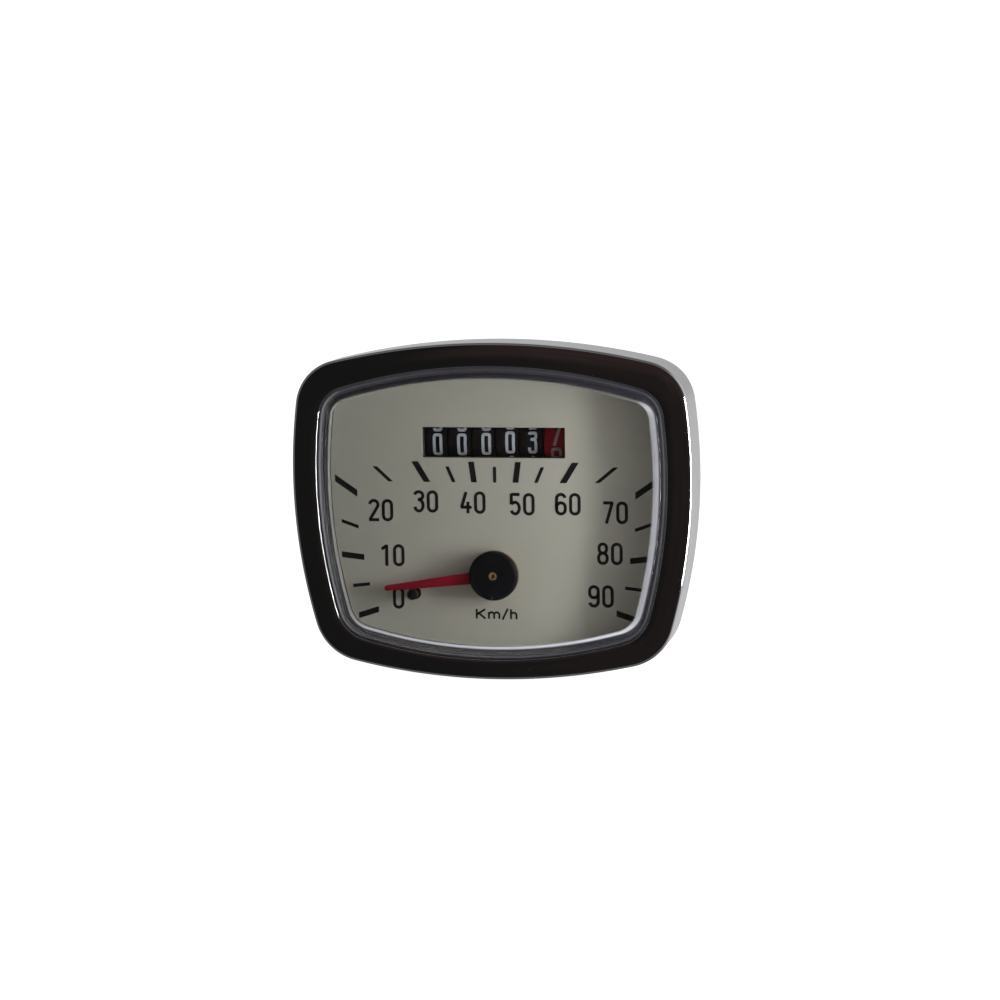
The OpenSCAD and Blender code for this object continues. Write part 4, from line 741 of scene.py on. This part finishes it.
def makeDialPlate(s):
    # the dial's own shape with a finer bevel: its corner points round the window are moved in and forward
    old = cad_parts["dial"].data
    at = np.empty(len(old.vertices) * 3)
    old.vertices.foreach_get("co", at)
    at = at.reshape(-1, 3) / mm
    x, y, z = at[:, 0].copy(), at[:, 1].copy(), at[:, 2] - s["windowHeight"]
    half, tall, reach = s["windowHalfWidth"], s["windowHalfHeight"], s["bevelNow"] + 2 * s["near"]
    near = (np.abs(np.abs(x) - half) < reach) & (np.abs(np.abs(z) - tall) < reach)
    front = near & (y < dialFace + s["near"])
    ledge = near & (np.abs(y - dialFace - s["bevelNow"]) < s["near"])
    at[front, 0] = np.sign(x[front]) * (half + s["bevel"])
    at[front, 2] = s["windowHeight"] + np.sign(z[front]) * (tall + s["bevel"])
    at[ledge, 1] = dialFace + s["bevel"]
    print("window corners moved:", int(front.sum()), int(ledge.sum()))
    return solidPiece("dial_plate", at, [[list(p.vertices) for p in old.polygons]], finish["dialPaint"])


settle(makeDialPlate(dialPlateSet), "dial")


# figures

def figureStrokes(sign, w, h):
    # centre lines of a narrow round-topped figure or letter in a box w wide and h high about (0, 0)
    x, y, r = w / 2, h / 2, w / 2
    bar = lambda *pts: (np.array(pts, float), False)
    oval = lambda top, foot, r, count: (join([arcPoints(0, top - r, r, r, 0, 180, count),
                                              arcPoints(0, foot + r, r, r, 180, 360, count)]), True)
    if sign == "0":
        return [oval(y, -y, r, 15)]
    if sign == "1":
        flag = bar((-0.42 * w, y - 0.42 * w), (0.16 * w, y - 0.02 * w))
        return [bar((0.18 * w, -y - 0.13 * w), (0.18 * w, y + 0.1 * w)), flag]
    if sign == "2":
        bow = join([arcPoints(0, y - r, r, r, 172, -22, 16), [[-x, -y + 0.02]]])
        return [(bow, False), bar((-x - 0.12 * w, -y), (x + 0.1 * w, -y))]
    if sign == "3":
        up = arcPoints(0, y - 0.92 * r, r, 0.92 * r, 165, -90, 16)
        waist = up[-1, 1]
        low = arcPoints(0, (waist - y) / 2, r, (waist + y) / 2, 90, -165, 20)
        return [(up, False), bar((-0.12 * w, waist - 0.02), (0.04 * w, waist - 0.02)), (low, False)]
    if sign == "4":
        level = -0.24 * h
        return [bar((0.02 * w, y + 0.1 * w), (-x - 0.02 * w, level)), bar((-x - 0.12 * w, level), (x + 0.16 * w, level)),
                bar((0.22 * w, 0.04 * h), (0.22 * w, -y - 0.12 * w))]
    if sign == "5":
        bowl = arcPoints(0, -y + 0.3 * h, r, 0.3 * h, 142, -155, 22)
        side = -0.86 * x
        return [bar((x + 0.05 * w, y), (side, y)), bar((side, y + 0.1 * w), (side, bowl[0, 1] - 0.02)), (bowl, False)]
    if sign in "69":
        loop = join([arcPoints(0, -y + r, r, r, 180, 360, 15), arcPoints(0, 0.07 * h - r, r, r, 0, 180, 15)])
        tail = join([arcPoints(0, y - r, r, r, 12, 180, 14), [[-x, -y + r]]])
        turn = 1 if sign == "6" else -1
        return [(loop * turn, True), (tail * turn, False)]
    if sign == "7":
        return [bar((-x - 0.06 * w, y), (x + 0.08 * w, y)), bar((x, y + 0.04 * w), (-0.2 * w, -y - 0.13 * w))]
    if sign == "8":
        return [oval(y, 0.03 * h, 0.86 * r, 13), oval(0.03 * h, -y, r, 13)]
    if sign == "K":
        return [bar((-x, -y), (-x, y)), bar((x, y), (-x, -0.1 * h)), bar((-0.35 * w, 0.14 * h), (x + 0.04 * w, -y))]
    if sign == "m":
        arch = lambda c: (join([arcPoints(c, 0.12 * h, w / 4, w / 4 * 1.05, 170, 0, 9), [[c + w / 4, -y]]]), False)
        return [bar((-x, -y), (-x, 0.12 * h + w * 0.27)), arch(-w / 4), arch(w / 4)]
    if sign == "h":
        return [bar((-x, -y), (-x, y)), (join([arcPoints(0, -0.11 * h, x, x * 0.95, 165, 0, 10), [[x, -y]]]), False)]
    return [bar((-x, -y - 0.12 * h), (x, y + 0.1 * h))]


def printedWord(word, centre, w, h, step):
    # figures side by side about a centre, each moved to its place on the dial
    strokes = []
    for i, sign in enumerate(word):
        shift = np.array(centre) + [(i - (len(word) - 1) / 2) * step, 0]
        strokes += [(path + shift, closed) for path, closed in figureStrokes(sign, w, h)]
    return strokes


dialSet = {
    "ink": 0.03, "figureWidth": 1.84, "figureHeight": 4.17, "figureStep": 3, "figureStroke": 0.66, "unitStroke": 0.42,
    "majorWidth": 1.24, "minorWidth": 0.7, "markShift": 0.18, "markMore": 0.14,
    # a mark that stands otherwise than its row says: number, 1 for the left or -1 for the right side, its two ends
    "ownMarks": {(5, 1): ((-22.87, 19.92), (-26.15, 22.97)), (5, -1): ((22.2, 20), (26, 23.15))},
    # inner and outer ends of the left-hand scale marks, from 0 to 45, in mm from the pointer axis
    "marks": [((-26.12, -8.03), (-30.38, -9.43)), ((-28, -2.53), (-31.47, -2.92)), ((-29.12, 3.32), (-33.88, 3.86)),
              ((-30.2, 9.93), (-33.7, 11.16)), ((-30.32, 17.26), (-35.02, 20.44)), ((-22.37, 19.92), (-26.2, 23)),
              ((-14.83, 19.92), (-17.36, 24.05)), ((-8.97, 19.92), (-10.3, 23)), ((-4.52, 19.92), (-5.08, 24.05)),
              ((0, 19.92), (0, 23))],
    "figures": {"0": (-21.39, -5.41), "10": (-22.64, 3.82), "20": (-24.93, 13.58), "30": (-14.99, 15.57),
                "40": (-4.65, 15.43), "50": (6.01, 15.19), "60": (15.93, 15.3), "70": (26.03, 13.6),
                "80": (24.83, 4.81), "90": (22.83, -4.38)},
    # sign, middle, width and height of the letters under the hub
    "unit": [("K", (-3.28, -8.6), 1.86, 2.08), ("m", (-0.4, -8.97), 2.28, 1.32), ("/", (2.01, -8.57), 1.2, 2),
             ("h", (3.89, -8.55), 1.2, 2.16)],
}


def markShape(inner, outer, width, flatTop, more):
    # a bar from end to end; marks along the top are cut level, those down the sides are cut upright
    a, b = np.array(inner), np.array(outer)
    d = (b - a) / np.linalg.norm(b - a)
    a, b = a - d * more, b + d * more
    n = np.array([-d[1], d[0]]) * width / 2
    cut = np.array([0, 1] if flatTop else [1, 0])
    slide = lambda p, s: p + s * n - d * ((s * n) @ cut) / (d @ cut)
    return np.array([slide(a, -1), slide(b, -1), slide(b, 1), slide(a, 1)])


def dialPrint(s):
    # all marks and figures as thin raised ink on the dial's face
    j = np.arange(4)
    k = (j + 1) % 4
    barFaces = [np.stack([j, k, k + 4, j + 4], -1), np.array([[4, 5, 6, 7], [3, 2, 1, 0]])]
    parts, figures, letters = [], [], []
    for i, row in enumerate(s["marks"]):
        for mirror in ((1, -1) if i < len(s["marks"]) - 1 else (1,)):
            ends = [np.array(end) * [mirror, 1] for end in s["ownMarks"].get((i, mirror), [])] or row
            flat = markShape(*ends, s["majorWidth"] if i % 2 == 0 else s["minorWidth"], i >= 5, s["markMore"])
            flat = (flat * [mirror, 1] + [s["markShift"], 0])[::mirror]
            parts.append((join([np.column_stack([flat, np.full(4, h)]) for h in (0, s["ink"])]), barFaces))
    for word, centre in s["figures"].items():
        figures += printedWord(word, centre, s["figureWidth"], s["figureHeight"], s["figureStep"])
    for sign, centre, w, h in s["unit"]:
        letters += printedWord(sign, centre, w, h, 0)
    parts += [ribbonSolid(figures, s["figureStroke"], 0, s["ink"]), ribbonSolid(letters, s["unitStroke"], 0, s["ink"])]
    flat, faces = gather(parts)
    placed = np.column_stack([flat[:, 0], dialFace - flat[:, 2], flat[:, 1]])
    return solidPiece("dial_print", placed, faces, finish["printBlack"])


settle(dialPrint(dialSet))

drumSet = {
    "axisY": -22.4, "axisZ": 28.3, "radius": 8.3, "pitch": 5.2, "paint": 0.02, "paintRoot": -0.05, "digitTurn": 36,
    "figureWidth": 1.46, "redWidth": 1.9, "figureHeight": 4.2, "stroke": 0.64, "stepAlong": 0.28,
    "square": 0.36, "level": 0.6, "straightSided": (1, 4, 7),
    "aside": [0.14, 0.28, 0.6, 0.62, 0.5, 0.37],      # how far each row of figures lies to the right of its drum's middle
    # what stands in the middle of the window on each drum, from the right
    "reads": {"tenths": 7.3, "units": 2.96, "tens": -0.04, "hundreds": -0.11, "thousands": -0.14, "ten_thousands": -0.14},
}


def squarer(x, y, half, tall, s):
    # round ends become squarer: a point moves out towards the figure's side, then towards its top or foot
    bend = tall - half
    past = np.clip((np.abs(y) - bend) / half, 0, 1)
    return np.column_stack([np.sign(x) * half * np.abs(x / half) ** s["square"],
                            np.sign(y) * (np.minimum(np.abs(y), bend) + half * past ** s["level"])])


def drumFigures(name, index, reading, s):
    # the figures' flat strokes bent round the drum: height along the stroke becomes an angle about the drum's axis
    parts = []
    width = s["redWidth"] if index == 0 else s["figureWidth"]
    for digit in range(10):
        fine = []
        for path, closed in figureStrokes(str(digit), width, s["figureHeight"]):
            loop = join([path, path[:1]]) if closed else path
            along = join([[0], np.cumsum(np.linalg.norm(np.diff(loop, axis=0), axis=1))])
            at = np.linspace(0, along[-1], max(8, int(along[-1] / s["stepAlong"])), endpoint=not closed)
            x, y = (np.interp(at, along, loop[:, k]) for k in (0, 1))
            soft = digit not in s["straightSided"]
            fine.append((squarer(x, y, width / 2, s["figureHeight"] / 2, s) if soft else np.column_stack([x, y]), closed))
        ink, inkFaces = ribbonSolid(fine, s["stroke"], s["paintRoot"], s["paint"])
        angle = ink[:, 1] / s["radius"] - math.radians(s["digitTurn"]) * (digit - reading)
        r = s["radius"] + ink[:, 2]
        x = s["pitch"] * (2.5 - index) + s["aside"][index] + ink[:, 0]
        parts.append((np.column_stack([x, s["axisY"] - r * np.cos(angle), s["axisZ"] + r * np.sin(angle)]), inkFaces))
    colour, slot = ("figurePink", "drum_red") if index == 0 else ("figureWhite", "drum_black")
    settle(solidPiece(name + "_figures", *gather(parts), finish[colour]), body=name)


for index, (name, reading) in enumerate(drumSet["reads"].items()):
    drumFigures(name, index, reading, drumSet)
print("dial print and drum figures made")


# threads at the back

def threadRun(s, perTurn=10, root=0.12, flank=0.72, start=0.3):
    # radius falls and rises along a helix once a pitch, with flats at crest and root; root and flank are shares of half
    # a pitch; the thread grows within the start's share of a pitch and ends in a chamfer
    radius, pitch, depth, length, around = (s[k] for k in ("radius", "pitch", "depth", "length", "around"))
    rows = int(length / pitch * perTurn) + 1
    y, a = np.meshgrid(np.linspace(0, length, rows), 2 * np.pi * np.arange(around) / around, indexing="ij")
    phase = (y / pitch - a / (2 * np.pi)) % 1
    wave = np.clip((np.abs(phase - 0.5) * 2 - root) / flank, 0, 1)
    r = radius - depth * (1 - wave)
    r = np.minimum(r, radius - np.clip(s["chamfer"] - (length - y), 0, None))
    fade = start * pitch
    r = np.where(y < fade, np.maximum(r, radius - depth * np.clip(y / fade, 0, 1)), r)
    return np.stack([r * np.cos(a), y, r * np.sin(a)], -1).reshape(-1, 3), rows


def turnedRings(profile, around):
    # (radius, y) stations carried once round the Y axis
    a = 2 * np.pi * np.arange(around) / around
    return join([np.stack([r * np.cos(a), np.full(around, y), r * np.sin(a)], -1) for r, y in profile])


studSet = {"radius": 2, "neck": 2.3, "pitch": 0.7, "depth": 0.38, "half": 22, "length": 14, "chamfer": 0.4,
           "head": [(0, -2.6), (3.8, -2.6), (4, -2.4), (4, -1.6)], "tip": 0.8, "around": 36}


def makeStuds(s):
    # flat head inside the case, a plain neck through the case back, then a threaded shank with a chamfered end
    thread, rows = threadRun(s)
    head = s["head"] + [(s["neck"], s["head"][-1][1]), (s["neck"], 0)]
    end = [(s["tip"], s["length"]), (0, s["length"])]
    one = join([turnedRings(head, s["around"]), thread, turnedRings(end, s["around"])])
    rings = len(head) + rows + len(end)
    both = gather([(one + [x, 0, 0], [gridFaces(rings, s["around"], False, True)]) for x in (-s["half"], s["half"])])
    return solidPiece("studs_threaded", *both, finish["zincPlate"])


settle(makeStuds(studSet), "studs")

noseSet = {"radius": 6, "pilot": 6.6, "pilotFront": -4.4, "pilotEdge": 0.2, "pitch": 1, "depth": 0.55, "length": 13,
           "chamfer": 0.6, "bore": 3.02, "mouth": 3.6, "mouthAt": 8, "mouthEdge": 0.3, "around": 64}


def makeNose(s):
    # a plain pilot through the case back, a threaded nose behind it, and a stepped bore for the cable end
    thread, rows = threadRun(s)
    front, pilot, edge = s["pilotFront"], s["pilot"], s["pilotEdge"]
    outside = [(s["bore"], front), (pilot - edge, front), (pilot, front + edge), (pilot, 0)]
    mouth, edge = s["mouth"], s["mouthEdge"]
    inside = [(mouth + edge, s["length"]), (mouth, s["length"] - edge), (mouth, s["mouthAt"]), (s["bore"], s["mouthAt"])]
    points = join([turnedRings(outside, s["around"]), thread, turnedRings(inside, s["around"])])
    faces = gridFaces(len(outside) + rows + len(inside), s["around"], True, True)
    return solidPiece("nose_threaded", points, [faces], finish["zincPlate"])


settle(makeNose(noseSet), "threaded_nose")
print("threads made")
